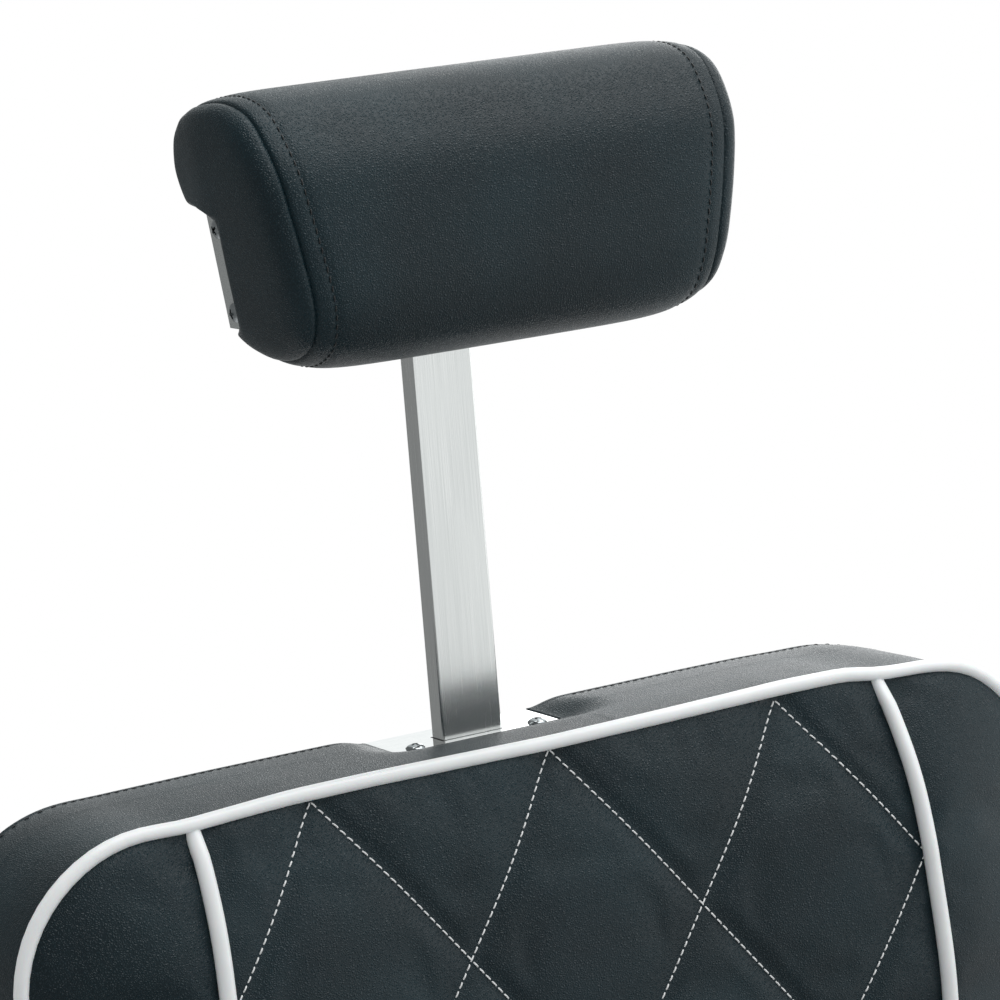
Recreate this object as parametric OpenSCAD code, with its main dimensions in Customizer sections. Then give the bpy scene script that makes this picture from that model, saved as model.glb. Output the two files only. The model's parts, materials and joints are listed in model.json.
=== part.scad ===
// Reclining salon chair for brow threading: quilted back and seat with contrast piping,
// a headrest on a sliding flat bar, a gas strut recline, a hydraulic column and a round base.
// The chair faces -Y and +Z is up. The origin is on the floor, on the axis of the column.

/* [Headrest] */
// Half width of the headrest at its upper seam
head_half_w = 109.5; // [92:0.5:125]
// How much narrower each end of the headrest is at the bottom
head_taper = 14; // [0:1:18]
// Height of the headrest cushion at its fullest
head_h = 118; // [104:1:126]
// Depth of the cushion in front of the post
head_front_d = 77; // [62:1:90]
// Depth of the rounded lobe that hangs over the back of the tray
head_lobe_d = 17; // [14:1:24]
// Height of the cushion's underside above the top of the backrest
head_raise = 176.5; // [172:0.5:200]
// How far the sewn end panels bulge past their seams
head_end_bulge = 11; // [4:0.5:14]
// Height of the steel tray behind the cushion
tray_h = 50; // [40:1:56]
// Sheet thickness of the tray
tray_t = 2; // [1.5:0.5:3]
// Height of the tray's lower edge above the underside of the cushion
tray_rise = 15.5; // [12:0.5:20]
// How far the tray's top corners lie inside the cushion's end seams
tray_top_inset = 4; // [2:0.2:6]
// How far the tray's bottom corners lie inside the cushion's end seams
tray_low_inset = 1.6; // [1:0.2:6]
// Spacing of the two screws in each end of the tray
tray_screw_pitch = 36; // [26:1:38]

/* [Headrest post] */
// Width of the flat bar
post_w = 30; // [24:1:40]
// Thickness of the flat bar
post_t = 10; // [8:0.5:12]
// Length of bar that stays inside the backrest at the highest setting
post_hold = 70; // [70:1:90]
// Furthest that the headrest goes down
head_down = 160; // [120:5:165]
// Furthest that the headrest goes up
head_up = 30; // [10:5:40]

/* [Backrest] */
// Width of the backrest between its front seams
back_w = 507; // [480:1:515]
// Length of the backrest from its top seam to its bottom seam
back_len = 539; // [480:1:600]
// Height of the top seam above the plate that the post goes through
back_crest = 6.7; // [6:0.1:8]
// Depth from the front seam to the back of the backrest
back_d = 88; // [76:1:100]
// Thickness of the plywood board inside the backrest
back_board_t = 15; // [12:1:18]
// Thickness of the wooden spacer strips behind the board
batten_t = 10; // [8:0.5:12]
// Lean of the backrest in the upright position, in degrees
back_lean = 8.8; // [4:0.1:14]
// Distance from the recline pivot up to the plate, along the backrest
pivot_drop = 600; // [590:1:640]

/* [Quilting] */
// Width of the plain panel on each side of the quilting, three diamonds wide
side_panel_w = 76.5; // [76:0.5:96]
// Height of one stitched diamond
diamond_h = 154; // [130:1:180]
// Depth of the stitched valleys
quilt_d = 4; // [1:0.5:6]
// Crown of the cushions above their front seams
cushion_crown = 24; // [12:1:28]
// Distance over which a cushion rolls from its seam up to its full crown
edge_roll = 60; // [45:1:70]
// Outline radius at the corners of the cushions
corner_r = 62; // [56:1:68]
// Radius of the piping cord in the seams
piping_r = 3; // [2:0.25:4]

/* [Seat] */
// Width of the seat between its top seams
seat_w = 516; // [490:1:518]
// Length of the seat from front to back
seat_len = 510; // [470:1:515]
// Height of the seat's top seam above the seat board
seat_seam_h = 80; // [70:1:90]
// Thickness of the plywood seat board
seat_board_t = 15; // [12:1:18]
// Distance from the column axis back to the rear edge of the seat
seat_rear = 236; // [225:1:240]
// Height of the seat board's underside at the lowest setting
seat_z = 380; // [370:1:420]

/* [Arms] */
// Width of the flat bar that the arm loops are bent from
arm_bar_w = 40; // [30:1:50]
// Thickness of the arm loops' flat bar
arm_bar_t = 8; // [6:0.5:10]
// Height of an arm loop
arm_h = 306; // [260:1:330]
// Length of an arm loop from front to back
arm_len = 440; // [400:1:460]
// Outside bend radius of the arm loops
arm_bend_r = 52; // [30:1:70]
// Length of the arm pads
arm_pad_len = 310; // [240:5:330]
// Width of the arm pads
arm_pad_w = 60; // [46:1:64]
// Height of the arm pads
arm_pad_h = 35; // [26:1:42]

/* [Seat frame] */
// Width of the flat bars under the seat
frame_bar_w = 40; // [34:1:44]
// Thickness of the flat bars under the seat
frame_bar_t = 8; // [6:0.5:10]
// Distance of each lengthwise rail from the middle of the chair
rail_x = 75; // [68:1:80]
// Side of the square mounting plate under the rails
mount_plate_w = 200; // [180:1:220]
// Distance of the front crossbar in front of the column axis
front_bar_y = 150; // [130:1:170]
// Distance of the rear crossbar behind the column axis
rear_bar_y = 190; // [170:1:200]

/* [Column] */
// Radius of the sliding column
column_r = 25; // [20:0.5:28]
// Lift of the column
lift = 150; // [100:5:160]
// Height of the pump body above the base plate
pump_h = 232; // [224:1:236]
// Radius of the pump body
pump_r = 45; // [42:0.5:48]
// Radius of the stainless shroud around the pump
shroud_r = 60; // [56:0.5:64]

/* [Base] */
// Radius of the round base
base_r = 305; // [280:1:330]
// Thickness of the steel base plate
base_plate_t = 8; // [6:0.5:10]
// Height of the base cover's rim
base_rim_h = 10; // [9:0.5:12]
// Rise of the base cover's dome
base_dome_h = 32; // [24:1:40]
// Sheet thickness of the base cover and the shroud
cover_t = 1.5; // [1:0.25:2]

/* [Pedal] */
// Height of the pedal's pivot
pedal_z = 95; // [88:1:104]
// Reach of the pedal from the column axis
pedal_reach = 322; // [312:1:360]
// Width of the rubber pedal pad
pedal_pad_w = 66; // [50:1:80]
// Travel of the pedal, in degrees
pedal_travel = 10; // [6:1:11]

/* [Recline] */
// Distance of the recline pivot behind the rear edge of the seat
pivot_back = 49; // [46:1:60]
// Height of the recline pivot above the seat board's underside
pivot_up = 45; // [44:1:54]
// Recline of the backrest, in degrees
recline_travel = 40; // [20:1:45]
// Distance of each recline hinge bracket inside the edge of the backrest
bracket_inset = 29.5; // [28:0.5:40]
// Radius of the recline hinge pins
pivot_pin_r = 8; // [6:0.5:10]
// Length of the crank that the gas strut pushes
crank_len = 45; // [42:1:48]
// Radius of the gas strut's cylinder
strut_r = 11; // [9:0.5:11]
// Radius of the gas strut's rod
strut_rod_r = 5; // [4:0.5:6]
// Length of the gas strut's cylinder
strut_len = 120; // [110:1:130]
// Radius of the recline lever's shaft
lever_r = 6; // [5:0.5:7]

/* [Footrest] */
// Height of the footrest's shelf above the floor
footrest_z = 146; // [140:1:170]
// Distance of the footrest's hinge in front of the column axis
footrest_y = 425; // [415:1:450]
// Distance of each footrest bar from the middle of the chair
footrest_bar_x = 120; // [118:1:140]
// Width of the foot plate
foot_plate_w = 360; // [340:1:420]
// Depth of the foot plate
foot_plate_d = 185; // [150:1:190]
// Number of rubber treads on the foot plate
treads = 6; // [3:1:7]

/* [Hidden] */
$fn = 48;

// Fits and allowances
run_gap = 0.05;
seat_gap = 0.3;
slide_gap = 0.15;
side_gap = 1;
arm_gap = 5;
notch_gap = 5;
over = 1;

// Small sizes of the sewn work
chamfer = 4;
drawn_in = 2.5;
wall_inset = 4.5;
board_inset = 6.5;
notch_lift = 2;
lattice_inset = 12;
side_cols = 3;
half_cols = 9;

// Fasteners
m5_head_r = 4.6;
m5_head_h = 2.6;
m5_shank_r = 2.5;
m8_head_r = 7.5;
m8_head_h = 5.3;
m8_shank_r = 4;
m10_head_r = 9;
m10_head_h = 6.4;
m10_shank_r = 5;
shank_gap = 0.3;
pin_r = 5;
pin_head_h = 4;
pin_head_r = 8;

// Levels of the backrest, measured forward from the post's front face
rear_face_t = cushion_seam_t() - back_d;
panel_t = 4;
plate_t = 3;
plate_half = 41;
notch_half = plate_half + notch_gap;
board_rear_t = rear_face_t + panel_t + batten_t;
board_front_t = board_rear_t + back_board_t;
function cushion_seam_t() = 64;

// Stack under the seat
mount_plate_t = 8;
crossbar_z = seat_z - frame_bar_t;
rail_z = crossbar_z - frame_bar_t;
mount_z = rail_z - mount_plate_t;
board_top = seat_z + seat_board_t;

// Arms stand just outside the seat
arm_x = seat_w / 2 + piping_r + run_gap + arm_gap + arm_bar_w / 2;
frame_half = arm_x + arm_bar_w / 2;
arm_forward = 5;
arm_y = -arm_len / 2 - arm_forward;

// Recline axis and the backrest's own origin at the foot of the post
pivot_y = seat_rear + pivot_back;
pivot_z = seat_z + pivot_up;
strap_t = 6;
pivot_t = board_rear_t - strap_t / 2;
back_y = pivot_y + pivot_t * cos(back_lean) + pivot_drop * sin(back_lean);
back_z = pivot_z - pivot_t * sin(back_lean) + pivot_drop * cos(back_lean);

// Headrest levels, measured up from the plate
head_top = head_raise + head_h;
tray_low = head_raise + tray_rise;
tray_top = tray_low + tray_h;

// Sewn pads: half width, length, seam height over the board, skirt below the board's face,
// half width of the notch in the top skirt, skirt along the bottom edge
back_pad = [back_w / 2, back_len, cushion_seam_t() - board_front_t,
            board_front_t - rear_face_t - side_gap, notch_half,
            board_front_t - board_rear_t - side_gap];
seat_pad = [seat_w / 2, seat_len, seat_seam_h, seat_board_t - 2 * side_gap, 0,
            seat_board_t - 2 * side_gap];

// General helpers

module at_sides(x) {
    for (side = [-1, 1])
        translate([side * x, 0, 0]) children();
}

// Puts a piece that is drawn for the chair's left side on the given side
module on_side(side) {
    if (side < 0)
        mirror([1, 0, 0]) children();
    else
        children();
}

module rounded_rect(w, h, r) {
    for (x = [-1, 1], y = [-1, 1])
        translate([x * (w / 2 - r), y * (h / 2 - r)]) circle(r);
    square([w - 2 * r, h], center = true);
    square([w, h - 2 * r], center = true);
}

// Extrudes a drawing of the side view, [y, z], across the chair from x0 for a width
module side_view(x0, width) {
    translate([x0, 0, 0]) rotate([90, 0, 90]) linear_extrude(width) children();
}

// A round bar along X between two places, drawn about the axis [y, z]
module bar_x(x0, x1, y, z, r) {
    translate([x0, y, z]) rotate([0, 90, 0]) cylinder(r = r, h = x1 - x0);
}

// Backrest space: X across, -Y forward from the post's front face, Z up along the backrest
module back_space() {
    translate([0, back_y, back_z]) rotate([-back_lean, 0, 0]) children();
}

function unit(v) = v / norm(v);
function wrap(k, n) = ((k % n) + n) % n;
function blend(a, b, s) = a + (b - a) * s;

// The path moved sideways by a distance, with mitred corners
function shift_path(path, s) = [
    for (k = [0 : len(path) - 1])
        let (
            before = path[max(k - 1, 0)],
            after = path[min(k + 1, len(path) - 1)],
            d0 = k == 0 ? unit(after - path[k]) : unit(path[k] - before),
            d1 = k == len(path) - 1 ? d0 : unit(after - path[k]),
            n = unit([-d0[1] - d1[1], d0[0] + d1[0]]),
            miter = 1 / max(0.5, n * [-d0[1], d0[0]])
        )
        path[k] + s * miter * n
];

// The path with every inner corner replaced by an arc
function bend_path(path, r, steps = 6) = [
    for (k = [0 : len(path) - 1])
        if (k == 0 || k == len(path) - 1)
            path[k]
        else
            let (
                d0 = unit(path[k] - path[k - 1]),
                d1 = unit(path[k + 1] - path[k]),
                turn = acos(d0 * d1),
                side = sign(d0[0] * d1[1] - d0[1] * d1[0]),
                start = path[k] - d0 * r * tan(turn / 2),
                middle = start + side * r * [-d0[1], d0[0]]
            )
            for (m = [0 : steps])
                let (a = side * turn * m / steps, q = start - middle)
                middle + [q[0] * cos(a) - q[1] * sin(a), q[0] * sin(a) + q[1] * cos(a)]
];

function reversed(list) = [for (k = [len(list) - 1 : -1 : 0]) list[k]];

// A bent flat bar seen from its edge
module strap_profile(path, t) {
    polygon(concat(shift_path(path, t / 2), reversed(shift_path(path, -t / 2))));
}

// Skin through closed rings of points, with flat ends or joined end to end. Seen from above,
// rings that rise run anticlockwise
module loft(rings, joined = false) {
    n = len(rings[0]);
    m = len(rings);
    polyhedron(
        points = [for (ring = rings) each ring],
        faces = concat(
            joined ? [] : [[for (k = [0 : n - 1]) k], [for (k = [n - 1 : -1 : 0]) (m - 1) * n + k]],
            [
                for (j = [0 : joined ? m - 1 : m - 2], k = [0 : n - 1])
                    let (a = j * n, b = (j + 1) % m * n, k1 = (k + 1) % n)
                    each [[a + k, b + k, b + k1], [a + k, b + k1, a + k1]]
            ]
        )
    );
}

// Sewn pads with diamond quilting. A pad is drawn with X across, its far edge at Y = 0, its
// near edge at -length, and its board's face at Z = 0

all_cols = half_cols + side_cols;

function panel_x(p) = p[0] - side_panel_w;
function col_step(p) = panel_x(p) / half_cols;
function pad_rows(p) = round(6 * p[1] / diamond_h);
function row_step(p) = p[1] / pad_rows(p);
function seam_h(p) = p[2];

// Distance of a place from the pad's rounded outline
function edge_distance(p, x, w) =
    let (
        qx = abs(x) - (p[0] - corner_r),
        qw = abs(w + p[1] / 2) - (p[1] / 2 - corner_r)
    )
    qx > 0 && qw > 0 ? corner_r - norm([qx, qw]) : corner_r - max(qx, qw);

function roll_share(d) = let (s = 1 - min(max(d, 0), edge_roll) / edge_roll) sqrt(1 - s * s);

// Places on the outline, drawn in by an inset, for a column of the far edge and a row of a side
function far_point(p, i, inset) =
    abs(i) <= half_cols
        ? [i * col_step(p), -inset]
        : let (a = 90 - 45 * (abs(i) - half_cols) / side_cols)
          [
              sign(i) * (p[0] - corner_r + (corner_r - inset) * cos(a)),
              (corner_r - inset) * sin(a) - corner_r
          ];

function side_point(p, j, inset) =
    let (
        n = pad_rows(p),
        row = min(j, n - j),
        m = max(1, round(corner_r / row_step(p))),
        low = asin(max(0, corner_r - m * row_step(p)) / corner_r),
        a = blend(45, low, row / m),
        x = row <= m ? p[0] - corner_r + (corner_r - inset) * cos(a) : p[0] - inset,
        w = row < m || low > 0 && row == m
            ? (corner_r - inset) * sin(a) - corner_r
            : -row * row_step(p)
    )
    [x, j == row ? w : -p[1] - w];

// A lattice point of the pad: the middle panel is regular and the side panels follow the edge
function lattice_point(p, i, j, inset) =
    let (
        n = pad_rows(p),
        near = far_point(p, i, inset),
        w = j == 0 ? -inset : j == n ? inset - p[1] : -j * row_step(p)
    )
    abs(i) <= half_cols
        ? [i * col_step(p), w]
        : let (
              s = (abs(i) - half_cols) / side_cols,
              r = j / n,
              top = [abs(near[0]), near[1]],
              low = [abs(near[0]), -p[1] - near[1]],
              corner = side_point(p, 0, inset),
              low_corner = [corner[0], -p[1] - corner[1]],
              inner = [panel_x(p), w],
              inner_top = [panel_x(p), -inset],
              inner_low = [panel_x(p), inset - p[1]],
              q = blend(inner, side_point(p, j, inset), s) + blend(top, low, r)
                  - blend(blend(inner_top, corner, s), blend(inner_low, low_corner, s), r)
          )
          [sign(i) * q[0], q[1]];

// Share of the valley's depth that is left beside a stitched line, by lattice steps
valley_shares = [1, 0.45, 0.12, 0];
function valley(k) = let (m = wrap(k, 6)) valley_shares[min(m, 6 - m)];

function pad_height(p, i, j, q) =
    let (
        rise = roll_share(edge_distance(p, q[0], q[1])),
        seam = valley_shares[min(3, 2 * abs(abs(i) - half_cols))],
        line = abs(i) > half_cols ? seam : max(valley(i - j), valley(i + j), seam)
    )
    seam_h(p) + cushion_crown * rise - quilt_d * rise * line;

function surface_point(p, i, j) =
    let (q = lattice_point(p, i, j, lattice_inset)) [q[0], q[1], pad_height(p, i, j, q)];

// Lattice places of the outline, clockwise from the far left
function border(p) =
    let (n = pad_rows(p), c = all_cols)
    concat(
        [for (i = [-c : c]) [i, 0]],
        [for (j = [1 : n]) [c, j]],
        [for (i = [c - 1 : -1 : -c]) [i, n]],
        [for (j = [n - 1 : -1 : 1]) [-c, j]]
    );

function skirt(p, b, x) =
    b[1] == 0 && abs(x) < p[4] ? -notch_lift : b[1] >= pad_rows(p) - 1 ? p[5] : p[3];

// One ring round the pad: an inset, a height, and whether the height hangs from the skirt
function pad_ring(p, inset, h, from_skirt = false) = [
    for (b = border(p))
        let (q = lattice_point(p, b[0], b[1], inset))
        [q[0], q[1], from_skirt ? h - skirt(p, b, q[0]) : h]
];

module quilted_pad(p) {
    n = pad_rows(p);
    cols = 2 * all_cols + 1;
    edge = [for (b = border(p)) b[0] + all_cols + b[1] * cols];
    rings = [
        pad_ring(p, chamfer, seam_h(p)),
        pad_ring(p, 0, seam_h(p) - chamfer),
        pad_ring(p, drawn_in, seam_h(p) / 2),
        pad_ring(p, 0, chamfer, true),
        pad_ring(p, wall_inset, 0, true),
        pad_ring(p, wall_inset, seat_gap)
    ];
    first = cols * (n + 1);
    count = len(edge);
    last = first + (len(rings) - 1) * count;
    polyhedron(
        points = concat(
            [for (j = [0 : n], i = [-all_cols : all_cols]) surface_point(p, i, j)],
            [for (ring = rings) each ring]
        ),
        faces = concat(
            [
                for (j = [0 : n - 1], i = [-all_cols : all_cols - 1])
                    let (
                        a = i + all_cols + j * cols,
                        rising = wrap(i + j + 1, 6) == 0
                    )
                    each rising
                        ? [[a, a + 1, a + cols], [a + 1, a + cols + 1, a + cols]]
                        : [[a, a + 1, a + cols + 1], [a, a + cols + 1, a + cols]]
            ],
            [
                for (r = [0 : len(rings) - 1], k = [0 : count - 1])
                    let (
                        k1 = (k + 1) % count,
                        a = r == 0 ? edge[k] : first + (r - 1) * count + k,
                        b = r == 0 ? edge[k1] : first + (r - 1) * count + k1,
                        c = first + r * count + k1,
                        d = first + r * count + k
                    )
                    each [[a, d, b], [b, d, c]]
            ],
            [[for (k = [count - 1 : -1 : 0]) last + k]]
        )
    );
}

// Outline of a pad, drawn in by an inset
module pad_outline(p, inset) {
    translate([0, -p[1] / 2])
        rounded_rect(2 * (p[0] - inset), p[1] - 2 * inset, corner_r - inset);
}

piping_sides = 8;

// The piping cord that lies against the chamfered seam, a closed tube round the pad
module piping_loop(p) {
    steps = 6;
    out = (piping_r + seat_gap) / sqrt(2) - chamfer / 2;
    x = p[0] - corner_r;
    y = p[1] / 2 - corner_r;
    rings = [
        for (corner = [[x, y, 0], [-x, y, 90], [-x, -y, 180], [x, -y, 270]], k = [0 : steps])
            let (a = corner[2] + 90 * k / steps)
            [
                for (m = [0 : piping_sides - 1])
                    let (b = -360 * m / piping_sides, r = corner_r + out + piping_r * cos(b))
                    [corner[0] + r * cos(a), corner[1] + r * sin(a), piping_r * sin(b)]
            ]
    ];
    translate([0, -p[1] / 2, seam_h(p) + out]) loft(rings, true);
}

// The piping cord along the seam beside the quilted panel, from the far edge to the near edge
module piping_run(p, side) {
    n = pad_rows(p);
    start_share = 0.4;
    lattice = [for (j = [0 : n]) let (s = surface_point(p, half_cols, j)) [s[1], s[2]]];
    far = blend([-chamfer, seam_h(p)], lattice[0], start_share);
    near = blend([chamfer - p[1], seam_h(p)], lattice[n], start_share);
    path = shift_path(concat([far], lattice, [near]), -piping_r - seat_gap);
    rings = [
        for (k = [0 : len(path) - 1])
            let (
                d = unit(path[min(k + 1, len(path) - 1)] - path[max(k - 1, 0)]),
                out = [d[1], -d[0]]
            )
            [
                for (m = [0 : piping_sides - 1])
                    let (a = 360 * m / piping_sides, up = piping_r * sin(a) * out)
                    [side * panel_x(p) + piping_r * cos(a), path[k][0] + up[0], path[k][1] + up[1]]
            ]
    ];
    loft(rings);
}

module pad_piping(p) {
    piping_loop(p);
    for (side = [-1, 1]) piping_run(p, side);
}

// Base

trim_w = 6;
rim_fillet = 4;
bolt_circle_r = shroud_r + m10_head_r + side_gap;

module base_plate() {
    color("dimgray")
        difference() {
            cylinder(r = base_r - cover_t - trim_w - 2 * seat_gap, h = base_plate_t, $fn = 96);
            for (a = [45 : 90 : 315])
                rotate([0, 0, a]) translate([bolt_circle_r, 0, -over])
                    cylinder(r = m10_shank_r + shank_gap, h = base_plate_t + 2 * over);
        }
}

module edge_trim() {
    outer = base_r - cover_t - seat_gap;
    color("black")
        rotate_extrude($fn = 96)
            polygon([
                [outer - trim_w, 0], [outer, 0], [outer, base_plate_t - rim_fillet],
                [outer - rim_fillet, base_plate_t], [outer - trim_w, base_plate_t]
            ]);
}

function dome_z(r) = base_rim_h + base_dome_h * (1 - pow(r / base_r, 2));

module base_cover() {
    steps = 12;
    neck_r = shroud_r + seat_gap;
    neck_h = 4;
    flat_r = base_r - rim_fillet;
    line = concat(
        [[neck_r + cover_t / 2, dome_z(neck_r) + neck_h]],
        [for (k = [0 : steps]) let (r = blend(neck_r + neck_h, flat_r, k / steps)) [r, dome_z(r)]],
        [[base_r - cover_t / 2, dome_z(flat_r) - rim_fillet], [base_r - cover_t / 2, side_gap]]
    );
    color("gainsboro")
        rotate_extrude($fn = 96) strap_profile(line, cover_t);
}

// Levels inside the pump. The column's foot is a ring that stops under the bush at full lift
flange_t = 10;
ring_h = 8;
bush_wall = 7;
floor_z = base_plate_t + 2 * flange_t;
pump_top = base_plate_t + pump_h;
bush_h = pump_top - floor_z - lift - ring_h - 2 * side_gap;

module pump_body() {
    flange_r = shroud_r + 2 * m10_head_r + 2 * side_gap;
    color("dimgray")
        difference() {
            rotate_extrude()
                polygon([
                    [0, base_plate_t], [flange_r, base_plate_t], [flange_r, base_plate_t + flange_t],
                    [pump_r, base_plate_t + flange_t], [pump_r, pump_top],
                    [column_r + bush_wall, pump_top], [column_r + bush_wall, pump_top - bush_h],
                    [column_r + 2 * side_gap, pump_top - bush_h],
                    [column_r + 2 * side_gap, floor_z], [0, floor_z]
                ]);
            for (a = [45 : 90 : 315])
                rotate([0, 0, a])
                    translate([bolt_circle_r, 0, base_plate_t - over])
                        cylinder(r = m10_shank_r + shank_gap, h = flange_t + 2 * over);
        }
}

// Hexagon bolt with its head resting at z = 0 and its shank below
module bolt(head_r, head_h, shank_r, length) {
    cylinder(r = head_r, h = head_h, $fn = 6);
    translate([0, 0, -length]) cylinder(r = shank_r, h = length + head_h / 2);
}

module pump_bolts() {
    color("silver")
        for (a = [45 : 90 : 315])
            rotate([0, 0, a])
                translate([bolt_circle_r, 0, base_plate_t + flange_t])
                    bolt(m10_head_r, m10_head_h, m10_shank_r, base_plate_t + flange_t - side_gap);
}

// Opening in the shroud that the pedal works in
window_w = 40;
window_low = 70;

module pump_shroud() {
    low = base_plate_t + flange_t + seat_gap;
    color("silver")
        difference() {
            translate([0, 0, low]) cylinder(r = shroud_r, h = pump_top - low, $fn = 72);
            translate([0, 0, low - over])
                cylinder(r = shroud_r - cover_t, h = pump_top - low + 2 * over, $fn = 72);
            translate([-window_w / 2, 0, window_low])
                cube([window_w, shroud_r + over, 2 * (pedal_z - window_low)]);
        }
}

// Plastic ring that closes the gap between the shroud and the column
module pump_collar() {
    t = 6;
    lip = 2;
    inner = column_r + side_gap;
    color("black")
        rotate_extrude($fn = 72)
            polygon([
                [inner, pump_top + seat_gap], [shroud_r + lip, pump_top + seat_gap],
                [shroud_r + lip, pump_top + t / 2], [shroud_r - lip, pump_top + t], [inner, pump_top + t]
            ]);
}

module column_bush() {
    color("goldenrod")
        rotate_extrude()
            translate([column_r + run_gap, pump_top - bush_h + seat_gap])
                square([bush_wall - 2 * run_gap, bush_h - seat_gap]);
}

// Pedal

pedal_stand = 35;
pedal_y = pump_r + pedal_stand;
pad_clear = 32;
pedal_drop = pedal_z - pad_clear - (pedal_reach - pedal_y) * sin(pedal_travel);
cheek_t = 5;
arm_half = 9;
pedal_boss_r = 12;
pedal_bar_t = 12;
pad_plate_t = 6;
pad_plate_l = 42;

module pedal_bracket() {
    foot_t = 7;
    weld_lap = 3;
    boss_margin = 6;
    outer = arm_half + 2 * side_gap + cheek_t;
    h = 2 * (pedal_boss_r + boss_margin);
    color("dimgray")
        difference() {
            union() {
                translate([-outer, pump_r - weld_lap, pedal_z - h / 2])
                    cube([2 * outer, foot_t + weld_lap, h]);
                for (x = [-outer, outer - cheek_t]) {
                    translate([x, pump_r, pedal_z - h / 2])
                        cube([cheek_t, pedal_y - pump_r, h]);
                    bar_x(x, x + cheek_t, pedal_y, pedal_z, h / 2);
                }
            }
            bar_x(-outer - over, outer + over, pedal_y, pedal_z, pin_r + run_gap);
            translate([0, 0, pedal_z - h]) cylinder(r = pump_r + run_gap, h = 2 * h);
        }
}

module pedal_pin() {
    outer = arm_half + 2 * side_gap + cheek_t;
    color("silver") {
        bar_x(-outer - pin_head_h / 2, outer + side_gap, pedal_y, pedal_z, pin_r);
        bar_x(outer + seat_gap, outer + pin_head_h, pedal_y, pedal_z, pin_head_r);
    }
}

module pedal_arm() {
    level_run = 60;
    bend_r = 40;
    pad_margin = 3;
    plate_w = pedal_pad_w - 2 * pad_margin;
    tip = [pedal_reach - pad_plate_l, pedal_z - pedal_drop];
    path = [[pedal_y, pedal_z], [pedal_y + level_run, pedal_z], tip, tip + [pad_plate_t, 0]];
    color("silver")
        difference() {
            union() {
                side_view(-arm_half, 2 * arm_half) {
                    translate([pedal_y, pedal_z]) circle(pedal_boss_r);
                    strap_profile(bend_path(path, bend_r), pedal_bar_t);
                }
                translate([-plate_w / 2, tip[0], tip[1] - pedal_bar_t / 2])
                    cube([plate_w, pad_plate_l, pad_plate_t]);
            }
            bar_x(-arm_half - over, arm_half + over, pedal_y, pedal_z, pin_r + run_gap);
        }
}

module pedal_pad() {
    h = 9;
    ribs = 5;
    rib_w = 4;
    rib_h = 2;
    corner = 6;
    end_gap = 4;
    low = pedal_z - pedal_drop - pedal_bar_t / 2 + pad_plate_t;
    length = pad_plate_l - 2 * end_gap;
    rib_step = length / (ribs + 1);
    color("black") {
        translate([0, pedal_reach - length / 2, low]) {
            linear_extrude(h) rounded_rect(pedal_pad_w, length, corner);
            for (k = [0 : ribs - 1])
                translate([corner - pedal_pad_w / 2, (k - (ribs - 1) / 2) * rib_step - rib_w / 2, h - over])
                    cube([pedal_pad_w - 2 * corner, rib_w, rib_h + over]);
        }
    }
}

// Column and swivel

swivel_h = 44;
socket_crown_t = 12;
washer_t = 3;
column_edge = 2;
column_top = mount_z - socket_crown_t - washer_t - seat_gap;

module piston_column() {
    groove_d = 1;
    groove_w = 4;
    groove_top = column_top - swivel_h;
    groove_low = groove_top - groove_w;
    low = floor_z + seat_gap;
    color("gainsboro")
        rotate_extrude()
            polygon([
                [0, low], [column_r + side_gap, low], [column_r + side_gap, low + ring_h],
                [column_r, low + ring_h],
                [column_r, groove_low], [column_r - groove_d, groove_low + groove_d],
                [column_r - groove_d, groove_top - groove_d], [column_r, groove_top],
                [column_r, column_top - column_edge], [column_r - column_edge, column_top],
                [0, column_top]
            ]);
}

module thrust_washer() {
    color("goldenrod")
        translate([0, 0, column_top]) cylinder(r = column_r - column_edge, h = washer_t);
}

mount_bolt_y = 89;
lever_y = 66;
lever_drop = 16;
lever_z = mount_z - lever_drop;
bush_block = [30, 26, 28];
anchor_y = 78;
anchor_drop = 28;
anchor_z = mount_z - anchor_drop;
eye_half = 9;
ear_t = 5;
ear_r = 12;

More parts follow.
